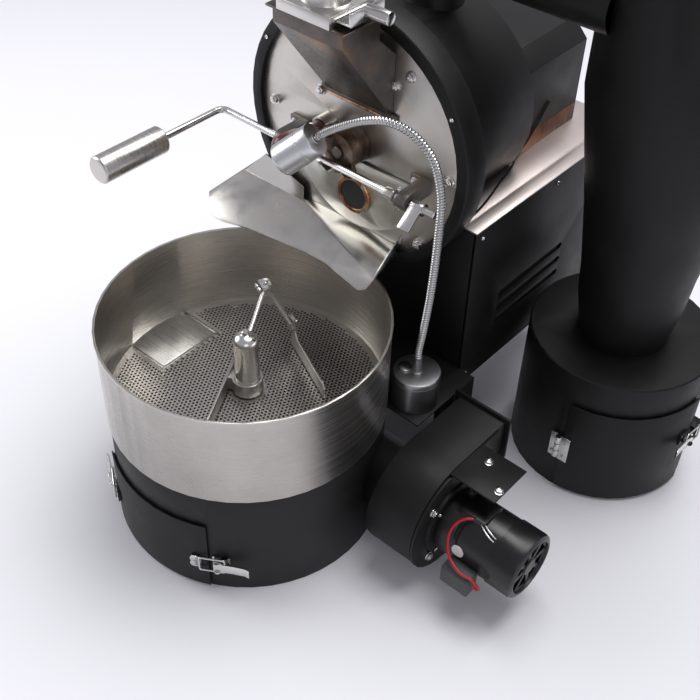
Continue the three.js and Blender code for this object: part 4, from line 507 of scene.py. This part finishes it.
# A punched plate: hexagon cells in staggered rows, each inset and opened
def buildTrayFloor(settings):
    pitch = settings["pitch"]
    rowStep = pitch * math.sqrt(3) / 2
    radius = settings["radius"]
    columns = int(radius / pitch) + 2
    bm = bmesh.new()
    bmesh.ops.create_circle(bm, cap_ends=True, segments=6, radius=mm(pitch / math.sqrt(3)))
    cell = bm.verts[:] + bm.edges[:] + bm.faces[:]
    rowGeometry = list(cell)
    for column in range(-columns, columns + 1):
        if column:
            copy = bmesh.ops.duplicate(bm, geom=cell)["geom"]
            verts = [g for g in copy if isinstance(g, bmesh.types.BMVert)]
            bmesh.ops.translate(bm, verts=verts, vec=at(column * pitch, 0, 0))
            rowGeometry += copy
    rows = int(radius / rowStep) + 1
    for row in range(-rows, rows + 1):
        if row:
            copy = bmesh.ops.duplicate(bm, geom=rowGeometry)["geom"]
            verts = [g for g in copy if isinstance(g, bmesh.types.BMVert)]
            shift = pitch / 2 if row % 2 else 0
            bmesh.ops.translate(bm, verts=verts, vec=at(shift, row * rowStep, 0))

    def isKept(face):
        x, y = face.calc_center_median().xy * 1000
        inDisc = math.hypot(x, y) < radius - pitch * 0.7
        offPost = math.hypot(x, y) > settings["shaftHole"] + pitch
        offGate = x > settings["gateInner"] + pitch * 0.6 or abs(y) > settings["gateHalf"] + pitch * 0.6
        return inDisc and offPost and offGate

    bmesh.ops.delete(bm, geom=[face for face in bm.faces if not isKept(face)], context="FACES")
    bmesh.ops.remove_doubles(bm, verts=bm.verts, dist=mm(0.05))

    def isPunched(face):
        x, y = face.calc_center_median().xy * 1000
        offPost = math.hypot(x, y) > settings["postRadius"]
        offGate = x > settings["gateInner"] + pitch * 1.4 or abs(y) > settings["gateHalf"] + pitch * 1.4
        return math.hypot(x, y) < radius - settings["rim"] - pitch / 2 and offPost and offGate

    openFaces = [face for face in bm.faces if isPunched(face)]
    bmesh.ops.inset_individual(bm, faces=openFaces, thickness=mm(settings["web"]), use_even_offset=True)
    bmesh.ops.delete(bm, geom=openFaces, context="FACES")
    bmesh.ops.translate(bm, verts=bm.verts, vec=at(0, 0, settings["top"] - 0.1))
    bmesh.ops.recalc_face_normals(bm, faces=bm.faces)
    bmesh.ops.solidify(bm, geom=bm.faces[:], thickness=mm(settings["sheet"] - 0.3))
    low, high = settings["top"] - settings["sheet"], settings["top"]
    rimInner = radius - settings["rim"]
    rim = turnedShape([(radius, low), (radius, high), (rimInner, high), (rimInner, low), (radius, low)], 128)
    inner = -math.sqrt(radius ** 2 - settings["gateHalf"] ** 2)
    half, edge, wide = settings["gateHalf"], settings["gateInner"], settings["gateRim"]
    cutRim(rim, -half, half)
    borders = [slab((inner + 3, -half - wide, low), (edge, -half, high), 0.2),
               slab((inner + 3, half, low), (edge, half + wide, high), 0.2),
               slab((edge, -half - wide, low), (edge + wide, half + wide, high), 0.2)]
    hubProfile = [(settings["shaftHole"], low), (settings["postRadius"], low), (settings["postRadius"], high),
                  (settings["shaftHole"], high), (settings["shaftHole"], low)]
    borders.append(turnedShape(hubProfile, 48))
    addPiece(merged([bm, rim] + borders), "trayPunchedFloor", "floorSteel", "frame", ["tray_floor"], sharpAngle=40)


# Opens the floor's rim on the -X side, where the gate slides through
def cutRim(bm, yLow, yHigh):
    for y in (yLow, yHigh):
        geometry = bm.verts[:] + bm.edges[:] + bm.faces[:]
        bmesh.ops.bisect_plane(bm, geom=geometry, plane_co=at(0, y, 0), plane_no=(0, 1, 0), dist=1e-6)
    inside = [f for f in bm.faces if f.calc_center_median().x < 0
              and mm(yLow) < f.calc_center_median().y < mm(yHigh)]
    bmesh.ops.delete(bm, geom=inside, context="FACES")
    bmesh.ops.holes_fill(bm, edges=bm.edges[:], sides=8)
    bmesh.ops.recalc_face_normals(bm, faces=bm.faces)


postSettings = {"radius": 18, "foot": 203, "shoulder": 292, "top": 306, "groove": 224, "shaftFoot": 150,
                "shaftRadius": 6}
# The outer blade's two ends, and the bolts of its clamp and its neck; all but the top one stand square to it
bladeSettings = {"inner": (-20, 112), "outer": (94, 58), "thread": 5, "neck": (-16, 110, 248), "neckStand": 1.6,
                 "clamp": [((-44, 82, 320), 10), ((-37, 77, 320), 8)], "top": (-40, 80, 325.2)}


def buildStirrer(settings, blade):
    radius, shoulder, top = settings["radius"], settings["shoulder"], settings["top"]
    foot, groove, shaft = settings["foot"], settings["groove"], settings["shaftRadius"]
    dome = [(radius * math.cos(math.radians(a)), shoulder + (top - shoulder) * math.sin(math.radians(a)))
            for a in range(0, 80, 8)]
    profile = ([(0, settings["shaftFoot"]), (shaft, settings["shaftFoot"]), (shaft, foot), (radius - 0.8, foot),
                (radius, foot + 0.8), (radius, groove), (radius - 0.7, groove + 0.6), (radius - 0.7, groove + 2),
                (radius, groove + 2.6)] + dome + [(5, top - 0.2), (5, top + 4), (4, top + 5), (0, top + 5)])
    addPiece(turnedShape(profile, 64), "stirrerPost", "brightSteel", "stirrer", ["stirrer_post"])
    dressNode("stirrer_arm", "brightSteel", 0.6)
    dressNode("stirrer_blade_outer", "bladeSteel", 0.6)
    dressNode("stirrer_blade_inner", "bladeSteel", 0.6)
    (innerX, innerY), (outerX, outerY) = blade["inner"], blade["outer"]
    heading = math.atan2(outerY - innerY, outerX - innerX)
    side = Vector((math.sin(heading), -math.cos(heading), 0))
    thread = blade["thread"]
    bolts = [hexBolt(thread, Vector(spot) + side * stand, side, False) for spot, stand in blade["clamp"]]
    bolts.append(hexBolt(thread, blade["top"], (0, 0, 1), False))
    bolts.append(hexBolt(thread, Vector(blade["neck"]) - side * blade["neckStand"], -side))
    addPiece(merged(bolts), "stirrerBolts", "brightSteel", "stirrer")


# The frame of a fitting on an upright cylinder: its first axis runs round it, its second up and its third out
def fittingPlace(centre, radius, angle, side, height):
    turn = math.radians(angle)
    outward = Vector((math.cos(turn), math.sin(turn), 0))
    across = Vector((-math.sin(turn), math.cos(turn), 0))
    place = Matrix((across, Vector((0, 0, 1)), outward)).transposed().to_4x4()
    place.translation = at(*centre, height) + outward * mm(radius)
    return place @ Matrix.Scale(side, 4, (1, 0, 0))


def placed(bm, place, spot=(0, 0, 0)):
    bm.transform(place @ Matrix.Translation(at(*spot)))
    if place.determinant() < 0:
        bmesh.ops.reverse_faces(bm, faces=bm.faces)
    return bm


keeperSettings = {"reach": 33, "lobe": 7, "lobeRise": 5, "low": 4.8, "sheet": 1.2, "near": 24, "halfWidth": 9,
                  "screw": 2.0, "screwSink": 1.35, "footReach": -12.5, "footLow": 1.4, "footRise": 6}


# The plate and screws of the latch's keeper, and the screws on its foot
def latchDetails(place, name, earBody, tabBody):
    keeper = keeperSettings
    low, top = keeper["low"], keeper["low"] + keeper["sheet"]
    feet = [placed(socketScrew(keeper["screw"], (0, 0, 0), (0, 0, 1)), place,
                   (keeper["footReach"], side * keeper["footRise"], keeper["footLow"])) for side in (-1, 1)]
    addPiece(merged(feet), name + "FootScrews", "boltSteel", earBody)
    lobes = [placed(drum(keeper["lobe"], keeper["sheet"], 32, 0.3), place,
                    (keeper["reach"], side * keeper["lobeRise"], low)) for side in (-1, 1)]
    strap = slab((keeper["near"], -keeper["halfWidth"], low), (keeper["reach"], keeper["halfWidth"], top), 0.3)
    placed(strap, place)
    addPiece(merged(lobes + [strap]), name + "KeeperPlate", "brightSteel", tabBody)
    screws = [placed(socketScrew(keeper["screw"], (0, 0, 0), (0, 0, 1)), place,
                     (keeper["reach"] + 1, side * keeper["lobeRise"], top - keeper["screwSink"])) for side in (-1, 1)]
    addPiece(merged(screws), name + "KeeperScrews", "boltSteel", tabBody)


# A closed loop through the corners with each corner rounded
def roundedLoop(corners, radius, steps):
    loop = []
    count = len(corners)
    for i, corner in enumerate(corners):
        here = Vector(corner)
        before = (Vector(corners[i - 1]) - here).normalized() * radius
        after = (Vector(corners[(i + 1) % count]) - here).normalized() * radius
        for step in range(steps + 1):
            t = step / steps
            loop.append(here + before * (1 - t) ** 2 + after * t ** 2)
    return loop


bailSettings = {"wire": 1.5, "stand": 8.5, "back": -10, "reach": 26, "rise": 13, "cornerRadius": 3, "cornerSteps": 5}


# The wire loop of a draw latch
def buildBail(radius, angle, side, height, centre, node):
    bail = bailSettings
    turn = math.radians(angle)
    outward = Vector((math.cos(turn), math.sin(turn), 0))
    across = Vector((math.sin(turn), -math.cos(turn), 0)) * side
    base = Vector((*centre, height)) + outward * (radius + bail["stand"])
    back, reach, rise = bail["back"], bail["reach"], bail["rise"]
    corners = [base + across * u + Vector((0, 0, z))
               for u, z in ((back, -rise), (reach, -rise), (reach, rise), (back, rise))]
    loop = roundedLoop(corners, bail["cornerRadius"], bail["cornerSteps"])
    wire = wireShape(loop, bail["wire"], closed=True, sides=4)
    addPiece(wire, pieceNameOf(node), "brightSteel", bodyOfNode[node], [node], sharpAngle=50)


trayLatches = {"radius": 198, "height": 58, "latches": [("right", -58, 1), ("left", -125, -1)]}


def buildTray():
    buildTrayFloor(trayFloorSettings)
    dressNode("tray_band", "bandSteel", 0.35)
    dressNode("tray_base", "blackBase", 0.8)
    dressNode("tray_cover", "blackBase", 0.5)
    dressNode("tray_gate", "sheetSteel", 0.3)
    dressNode("tray_spout", "sheetSteel", 0.4)
    dressNode("stirrer_gearmotor", "blackMotor", 0.8)
    buildStirrer(postSettings, bladeSettings)
    radius, height = trayLatches["radius"], trayLatches["height"]
    for name, angle, side in trayLatches["latches"]:
        dressNode(f"tray_latch_ears_{name}", "brightSteel", 0.3)
        dressNode(f"tray_latch_lever_{name}", "brightSteel", 0.5)
        buildBail(radius, angle, side, height, (0, 0), f"tray_latch_bail_{name}")
        place = fittingPlace((0, 0), radius, angle, -side, height)
        latchDetails(place, f"trayLatch{name.capitalize()}", "frame", "frame")


buildTray()
print("tray built")


# Blower and motor

blowerCentre = (228, 85, 100)
motorSettings = {"start": 315.6, "radius": 48.5, "length": 88, "cover": 42, "coverRadius": 50, "spokes": 8,
                 "spokeTurn": 9}


def blowerSpot(x, angle, radius):
    turn = math.radians(angle)
    return (x, blowerCentre[1] + radius * math.cos(turn), blowerCentre[2] + radius * math.sin(turn))


# A ribbed steel cap with a recessed grille in its end
def buildFanCover(settings):
    start = settings["start"] + settings["length"] + 0.3
    depth, radius = settings["cover"], settings["coverRadius"]
    profile = [(radius - 2, 0), (radius, 0), (radius, depth - 7), (radius - 1.5, depth - 3), (radius - 5, depth - 0.6),
               (radius - 8, depth), (radius - 9.5, depth - 0.6), (radius - 10.5, depth - 4), (14, depth - 4),
               (12, depth - 2), (0, depth - 2), (0, depth - 4), (11, depth - 4), (13, depth - 6),
               (radius - 12.5, depth - 6), (radius - 9, depth - 3), (radius - 4, depth - 5), (radius - 2, depth - 8),
               (radius - 2, 0)]
    bm = turnedShape(profile)
    spokeCount, spokeTurn = settings["spokes"], settings["spokeTurn"]
    spokePitch = 360 / spokeCount
    slots = []
    for face in bm.faces:
        centre = face.calc_center_median() * 1000
        reach = math.hypot(centre.x, centre.y)
        turn = math.degrees(math.atan2(centre.y, centre.x)) % spokePitch
        if 14.5 < reach < radius - 11.5 and centre.z > depth - 6.5 and turn > spokeTurn:
            slots.append(face)
    bmesh.ops.delete(bm, geom=slots, context="FACES")
    spokes = [moved(slab((15, -3.4, depth - 5.8), (radius - 11, 3.4, depth - 4.2), 0.4)) for _ in range(spokeCount)]
    for i, spoke in enumerate(spokes):
        spoke.transform(Matrix.Rotation(math.radians(spokePitch * i + spokeTurn / 2), 4, "Z"))
    back = turnedShape([(0, depth - 16), (radius - 3, depth - 16), (radius - 3, depth - 15), (0, depth - 15)], 48)
    place = (start, blowerCentre[1], blowerCentre[2])
    cover = moved(merged([bm] + spokes), (1, 0, 0), place)
    addPiece(cover, "motorFanCover", "blackMotor", "frame", ["motor_fan_cover"])
    addPiece(moved(back, (1, 0, 0), place), "motorFanDisc", "blackRubber", "frame")


# Its route is counted from the motor's flange and the fan's axis
redLead = {"radius": 2, "route": [
    (44, -22, 52), (37, -28, 52), (29, -36, 45), (26, -47, 32), (30, -55, 16), (38, -61, 4), (52, -66, -2),
    (66, -68, -5), (80, -66, -6), (89, -64, -14), (90, -61, -23), (86, -61, -26), (81, -61, -26)]}
# Where the end plate's bolts and the motor flange's screws stand along X and from the fan's axis
plateBolts = {"x": 310.4, "reach": 66.5, "thread": 6}
flangeScrews = {"x": 315.3, "reach": 53, "radius": 3}
shelfBolts = {"thread": 6, "spots": [(333, 127, 191.7), (373, 94, 191.7)]}
labelSettings = {"along": 42, "radius": 9.5, "turn": 6, "sheet": 0.3, "sink": 1.0}
shortLeads = {"radius": 1.0, "apart": 6, "route": [(50, 76, 49), (58, 69, 52), (67, 64, 52.5), (76, 60.5, 51.5),
                                                   (83, 59, 47)]}


# A plain round sticker, bent round the motor's body
def motorLabel(settings):
    radius, sheet, sink = settings["radius"], settings["sheet"], settings["sink"]
    rings = [(radius * i / 4, sheet) for i in range(5)] + [(radius, -sink), (0, -sink)]
    spot = Vector(blowerSpot(motorSettings["start"] + settings["along"], 180 - settings["turn"],
                             motorSettings["radius"]))
    axis = Vector((spot.x, blowerCentre[1], blowerCentre[2]))
    outward = (spot - axis).normalized()
    label = moved(turnedShape(rings, 40), outward, spot)
    for vert in label.verts:
        reach = vert.co - at(*axis)
        reach.x = 0
        bend = reach.dot(outward) / reach.length
        vert.co.y = mm(axis.y) + reach.y * bend
        vert.co.z = mm(axis.z) + reach.z * bend
    return label


def buildBlower():
    dressNode("blower_housing", "blackShellPaintedShade", 0.8)
    dressNode("blower_end_plate", "blackShellPaintedShade", 0.7)
    dressNode("blower_impeller", "fanAluminium")
    dressNode("blower_motor", "blackMotor", 0.9)
    dressNode("motor_capacitor", "greyMoulding", 1.4)
    dressNode("motor_shelf", "blackShellPaintedShade", 0.6)
    buildFanCover(motorSettings)
    start = motorSettings["start"]
    route = [(start + x, blowerCentre[1] + y, blowerCentre[2] + z) for x, y, z in redLead["route"]]
    lead = wireShape(smoothRoute(route, 8), redLead["radius"], sides=4)
    addPiece(lead, "motorRedLead", "redSleeve", "frame", ["motor_red_lead"], sharpAngle=60)
    quarters = range(45, 405, 90)
    bolts = [hexBolt(plateBolts["thread"], blowerSpot(plateBolts["x"], angle, plateBolts["reach"]), (1, 0, 0))
             for angle in quarters]
    addPiece(merged(bolts), "scrollBolts", "brightSteel", "frame")
    screws = [socketScrew(flangeScrews["radius"], blowerSpot(flangeScrews["x"], angle, flangeScrews["reach"]),
                          (1, 0, 0)) for angle in quarters]
    addPiece(merged(screws), "motorFlangeScrews", "brightSteel", "frame")
    shelf = [hexBolt(shelfBolts["thread"], spot, (0, 0, 1)) for spot in shelfBolts["spots"]]
    addPiece(merged(shelf), "shelfBolts", "brightSteel", "frame")
    addPiece(motorLabel(labelSettings), "motorRoundLabel", "whiteLabel", "frame")
    leads = []
    for side in (-0.5, 0.5):
        spread = side * shortLeads["apart"]
        knots = [blowerSpot(start + along, 180 - turn + spread, reach) for along, turn, reach in shortLeads["route"]]
        leads.append(wireShape(smoothRoute(knots, 6), shortLeads["radius"]))
    addPiece(merged(leads), "motorShortLeads", "satinAluminium", "frame")


buildBlower()
print("blower built")


# Cabinet, drum housing and drive

sensorLead = {"radius": 1.5, "route": [
    (163, 252.6, 435.8), (160, 290, 435.8), (154, 323, 435.8), (141, 372, 435.8), (134, 404, 436.1),
    (129.8, 418, 436.8), (124.8, 431, 438.3), (120.8, 447, 440.8), (120.1, 462, 449), (119.8, 477, 460),
    (119.8, 494, 476), (119.8, 505, 489), (119.8, 514, 498)]}
panels = {"face": 190, "screw": 3.2, "screwY": (266, 450, 636), "screwZ": (170, 420)}
# Black sheets close behind the side panels' louvre slots: painted shade standing in for the dark inside of the cabinet
louvres = {"reach": 186.2, "half": 0.8, "front": 322, "rear": 508, "low": 274, "high": 296, "pitch": 26, "rows": 3}


def buildCabinet():
    dressNode("bridge_shelf", "blackShellPaintedShade", 0.8)
    dressNode("cabinet_frame", "blackShellPaintedShade", 0.6)
    for side in ("left", "right"):
        dressNode(f"side_panel_{side}", "blackShellPaintedShade", 0.4)
    dressNode("cabinet_top", "topSheet", 0.3)
    dressNode("burner", "drumIron")
    screws = [socketScrew(panels["screw"], (side * panels["face"], y, z), (side, 0, 0))
              for side in (-1, 1) for y in panels["screwY"] for z in panels["screwZ"]]
    addPiece(merged(screws), "panelScrews", "brightSteel", "frame")
    lead = wireShape(smoothRoute(sensorLead["route"], 6), sensorLead["radius"])
    addPiece(lead, "sensorLead", "blackRubber", "frame")
    # Painted shade: black sheets behind each louvre row
    louvreShadeSheets = []
    for side in (-1, 1):
        middle = side * louvres["reach"]
        for i in range(louvres["rows"]):
            drop = i * louvres["pitch"]
            low, high = louvres["low"] - drop, louvres["high"] - drop
            louvreShadeSheets.append(slab((middle - louvres["half"], louvres["front"], low),
                              (middle + louvres["half"], louvres["rear"], high), 0.2))
    addPiece(merged(louvreShadeSheets), "louvrePaintedShade", "blackRubber", "frame")


facePlateBolts = {"thread": 7, "y": 220, "spots": [(-149, 517), (-62, 566), (160, 519), (87, 639), (62, 618),
                                                   (-85, 655), (118, 398)]}
bearing = {"centre": 510, "face": 184, "thread": 7, "boltReach": 29, "boltAngle": 52, "capRadius": 8.5,
           "capLength": 4.5}
ringScrews = {"radius": 3, "y": 214, "centre": 519, "reach": 182, "angles": (-30, 30, 90, 150)}


def buildDrum():
    dressNode("drum_jacket", "blackShellPaintedShade", 0.4)
    dressNode("front_ring", "blackShellPaintedShade", 0.7)
    dressNode("face_plate", "plateSteel", 0.5)
    dressNode("roasting_drum", "drumIron")
    dressNode("front_bearing", "strawFlange", 0.9)
    dressNode("drum_gearmotor", "blackMotor", 0.8)
    dressNode("drive_cover", "blackShellPaintedShade", 0.7)
    dressNode("drive_base", "brownSteel", 0.5)
    bolts = [hexBolt(facePlateBolts["thread"], (x, facePlateBolts["y"], z), (0, -1, 0))
             for x, z in facePlateBolts["spots"]]
    addPiece(merged(bolts), "facePlateBolts", "brightSteel", "frame")
    centre, face, reach = bearing["centre"], bearing["face"], bearing["boltReach"]
    turn = math.radians(bearing["boltAngle"])
    bolts = [hexBolt(bearing["thread"],
                     (side * reach * math.cos(turn), face, centre - side * reach * math.sin(turn)), (0, -1, 0))
             for side in (-1, 1)]
    addPiece(merged(bolts), "bearingBolts", "strawFlange", "frame")
    screws = []
    for angle in ringScrews["angles"]:
        turn = math.radians(angle)
        x, z = ringScrews["reach"] * math.cos(turn), ringScrews["centre"] + ringScrews["reach"] * math.sin(turn)
        screws.append(socketScrew(ringScrews["radius"], (x, ringScrews["y"], z), (0, -1, 0)))
    addPiece(merged(screws), "ringScrews", "brightSteel", "frame")
    radius, length = bearing["capRadius"], bearing["capLength"]
    cap = turnedShape([(0, 0), (radius, 0), (radius, length - 1.5), (radius - 1.5, length), (0, length)], 40)
    addPiece(moved(cap, (0, -1, 0), (0, face + 0.3, centre)), "drumShaftCap", "darkIron", "drum")


# The lowest and the highest corner of each strip at the chute's foot
chuteGasket = ((-59, 217.2, 565.5), (66, 219.6, 569.5))
chuteFlange = ((-60, 216.2, 569.6), (70, 219.6, 578))


def buildFeed():
    dressNode("feed_chute", "chuteIron", 0.8)
    dressNode("hopper", "sheetSteel", 0.4)
    dressNode("hopper_gate", "brightSteel", 0.4)
    addPiece(slab(*chuteGasket, 0.4), "chuteGasket", "copperRing", "frame")
    addPiece(slab(*chuteFlange, 0.6), "chuteFlange", "chuteIron", "frame")


sightSettings = {"centre": (5, 215, 430), "outer": 29, "inner": 22.6, "back": 0.3, "front": 3.3, "glassFront": 1.6,
                 "screw": 2, "screwReach": 26, "screwAngles": (60, 180, 300)}


# A narrow ring round a wide glass, on the door's front
def buildSightGlass(settings):
    outer, inner, back, front = settings["outer"], settings["inner"], settings["back"], settings["front"]
    x, y, z = settings["centre"]
    ring = turnedShape([(inner, back), (inner, front - 0.4), (inner + 0.4, front), (outer - 0.8, front),
                        (outer, front - 0.8), (outer, back), (inner, back)], 64)
    addPiece(moved(ring, (0, -1, 0), settings["centre"]), "sightGlassRing", "copperRing", "drop_door",
             ["sight_glass_ring"])
    face = turnedShape([(0, back), (inner - 0.1, back), (inner - 0.1, settings["glassFront"]),
                        (0, settings["glassFront"])], 64)
    addPiece(moved(face, (0, -1, 0), settings["centre"]), "sightGlass", "darkGlass", "drop_door", ["sight_glass"])
    screws = []
    for angle in settings["screwAngles"]:
        turn, reach = math.radians(angle), settings["screwReach"]
        spot = (x + reach * math.cos(turn), y - front + 0.2, z + reach * math.sin(turn))
        screws.append(socketScrew(settings["screw"], spot, (0, -1, 0)))
    addPiece(merged(screws), "sightRingScrews", "darkIron", "drop_door")


doorBolts = {"thread": 5, "lugs": [(86, 215, 474), (112, 215, 474), (-30, 215, 468)],
             "brackets": [(-108, 214.7, 499), (108, 214.7, 499)]}


def buildDoor():
    dressNode("discharge_door", "doorSteel", 0.6)
    buildSightGlass(sightSettings)
    dressNode("door_axle", "brightSteel", 0.3)
    dressNode("lever_counterweight", "turnedSteel", 0.6)
    dressNode("axle_bracket_left", "darkIron", 0.8)
    dressNode("axle_bracket_right", "darkIron", 0.8)
    dressNode("discharge_chute", "chuteSteel", 0.4, sharpAngle=75)
    lugs = [hexBolt(doorBolts["thread"], spot, (0, -1, 0)) for spot in doorBolts["lugs"]]
    addPiece(merged(lugs), "doorLugBolts", "brightSteel", "drop_door")
    brackets = [hexBolt(doorBolts["thread"], spot, (0, -1, 0)) for spot in doorBolts["brackets"]]
    addPiece(merged(brackets), "bracketBolts", "brightSteel", "frame")


ferrule = {"inner": 11.3, "outer": 11.9, "length": 4, "place": (-46, 180, 523)}


def buildTrier():
    dressNode("trier", "cherryHandle", 0.5)
    inner, outer, length = ferrule["inner"], ferrule["outer"], ferrule["length"]
    sleeve = turnedShape([(inner, 0), (outer, 0), (outer, length), (inner, length), (inner, 0)], 40)
    addPiece(moved(sleeve, (0, 1, 0), ferrule["place"]), "trierFerrule", "brightSteel", "sampler")


buildCabinet()
buildDrum()
buildFeed()
buildDoor()
buildTrier()
print("body built")


# Inspection lamp

lampSettings = {"place": (179, 158, 188.3), "radius": 34, "height": 55, "neckHeight": 24,
                "headRear": (28, 110, 576), "headAim": (-0.65, -0.38, -0.66), "headRadius": 22, "headLength": 58,
                "switch": {"radius": 10, "height": 4, "off": (-16, -7, -0.5)}}
hoseSettings = {"radii": (5.3, 5.6, 5.3, 3.9), "pitch": 4.4, "sides": 16}


# From the top of the base to the back of the head
def hoseRoute():
    x, y, z = lampSettings["place"]
    foot = z + lampSettings["height"] + lampSettings["neckHeight"] + 0.3
    rear, aim = Vector(lampSettings["headRear"]), Vector(lampSettings["headAim"])
    points = [(x, y, foot), (x, y, foot + 11.2), (184, 157, 320), (191, 155, 384), (198, 150, 484), (199, 145, 556),
              (188, 134, 608), (163, 126, 632), (133, 119, 638), (100, 114, 628), (66, 113, 607),
              rear - aim * 11.5, rear - aim * 0.3]
    return evenRoute(smoothRoute(points, 24), hoseSettings["pitch"] / len(hoseSettings["radii"]))


# The gooseneck: rings along its route, whose radii make a rib and a groove by turns, bridged together
def buildHose(settings):
    route = hoseRoute()
    bm = bmesh.new()
    side = Vector((1, 0, 0))
    previous = None
    for i, point in enumerate(route):
        ahead = (route[min(i + 1, len(route) - 1)] - route[max(i - 1, 0)]).normalized()
        side = (side - ahead * side.dot(ahead)).normalized()
        place = Matrix((side, ahead.cross(side), ahead)).transposed().to_4x4()
        place.translation = at(*point)
        radius = mm(settings["radii"][i % len(settings["radii"])])
        cap = i in (0, len(route) - 1)
        ring = bmesh.ops.create_circle(bm, cap_ends=cap, segments=settings["sides"], radius=radius, matrix=place)
        edges = list({edge for vert in ring["verts"] for edge in vert.link_edges})
        if previous:
            bmesh.ops.bridge_loops(bm, edges=previous + edges)
        previous = edges
    bmesh.ops.recalc_face_normals(bm, faces=bm.faces)
    addPiece(bm, "lampGooseneck", "hoseSteel", "frame", ["lamp_neck"], sharpAngle=70)


def buildLamp(settings):
    radius, height = settings["radius"], settings["height"]
    top = height + settings["neckHeight"]
    base = turnedShape([
        (0, 0), (radius - 0.8, 0), (radius, 0.8), (radius, height - 10), (radius - 0.5, height - 9.5),
        (radius, height - 9), (radius, height - 2), (radius - 0.6, height - 0.6), (radius - 2, height), (9, height),
        (7.5, height + 1), (6.8, height + 3), (6.5, height + 12), (6, top - 2), (6.6, top - 1.5), (6.6, top),
        (0, top)])
    addPiece(moved(base, place=settings["place"]), "lampBase", "lampShell", "frame", ["lamp_base"])
    button = settings["switch"]
    spot = Vector(settings["place"]) + Vector((0, 0, height)) + Vector(button["off"])
    cap = drum(button["radius"], button["height"], 40, 0.8)
    addPiece(moved(cap, place=spot), "lampSwitch", "brightSteel", "frame")
    r, length = settings["headRadius"], settings["headLength"]
    head = turnedShape([
        (0, 0), (7, 0), (7.4, 0.6), (r - 2, 0.6), (r - 0.6, 1.2), (r, 2.6), (r, 18), (r - 0.5, 18.5), (r, 19),
        (r, length - 5), (r - 0.4, length - 4.6), (r, length - 4.2), (r, length - 1), (r - 0.6, length),
        (r - 2, length), (r - 2, length - 8.3), (r - 4, length - 8.3), (r - 4, length / 2), (0, length / 2)])
    addPiece(moved(head, settings["headAim"], settings["headRear"]), "lampHead", "satinAluminium", "frame",
             ["lamp_head"])
    dressNode("lamp_lens", "lampGlass", 0.4)
    buildHose(hoseSettings)


buildLamp(lampSettings)
print("lamp built")


# Cyclone and chaff can

canCentre = (340, 451)
canLatch = {"radius": 142.2, "angle": -5, "height": 108}
hingeSettings = {"centre": canCentre, "radius": 138, "angle": -89, "out": 5, "low": 66, "knuckle": 14,
                 "barrel": 4.9, "leafSheet": 1.2, "canLeaf": (-13, -3, 3), "doorLeaf": (3, 20, 4.4), "leafInset": 1}


# Bright leaves, barrels and screws over the can door's hinge
def buildHinge(settings):
    place = fittingPlace(settings["centre"], settings["radius"], settings["angle"], 1, settings["low"])
    knuckle, inset = settings["knuckle"], settings["leafInset"]
    for name, leaf, barrels, body in (("canHingeFixed", "canLeaf", (0, 2), "frame"),
                                      ("canHingeMoving", "doorLeaf", (1,), "can_door")):
        near, far, low = settings[leaf]
        top = low + settings["leafSheet"]
        plate = slab((near, -3 * inset, low), (far, 3 * knuckle + 3 * inset, top), 0.3)
        shapes = [placed(plate, place)]
        for i in barrels:
            barrel = drum(settings["barrel"], knuckle - 1.2, 32, 0.4)
            barrel.transform(Matrix.Rotation(-math.pi / 2, 4, "X"))
            shapes.append(placed(barrel, place, (0, i * knuckle + 0.6, settings["out"])))
        addPiece(merged(shapes), name, "brightSteel", body)
        middle = (near + far) / 2
        screws = [placed(socketScrew(2, (0, 0, 0), (0, 0, 1)), place, (middle, rise, top))
                  for rise in (knuckle / 2, 5 * knuckle / 2)]
        addPiece(merged(screws), name + "Screws", "boltSteel", body)


def buildCyclone():
    dressNode("cyclone_body", "blackShellPaintedShade", sharpAngle=40)
    dressNode("chaff_can", "blackShellPaintedShade", 0.6)
    dressNode("chaff_can_door", "blackShellPaintedShade", 0.5)
    dressNode("can_latch_lever", "brightSteel", 0.5)
    radius, angle, height = canLatch["radius"], canLatch["angle"], canLatch["height"]
    buildBail(radius, angle, -1, height, canCentre, "can_latch_bail")
    latchDetails(fittingPlace(canCentre, radius, angle, 1, height), "canLatch", "can_door", "frame")
    buildHinge(hingeSettings)


buildCyclone()
print("cyclone built")
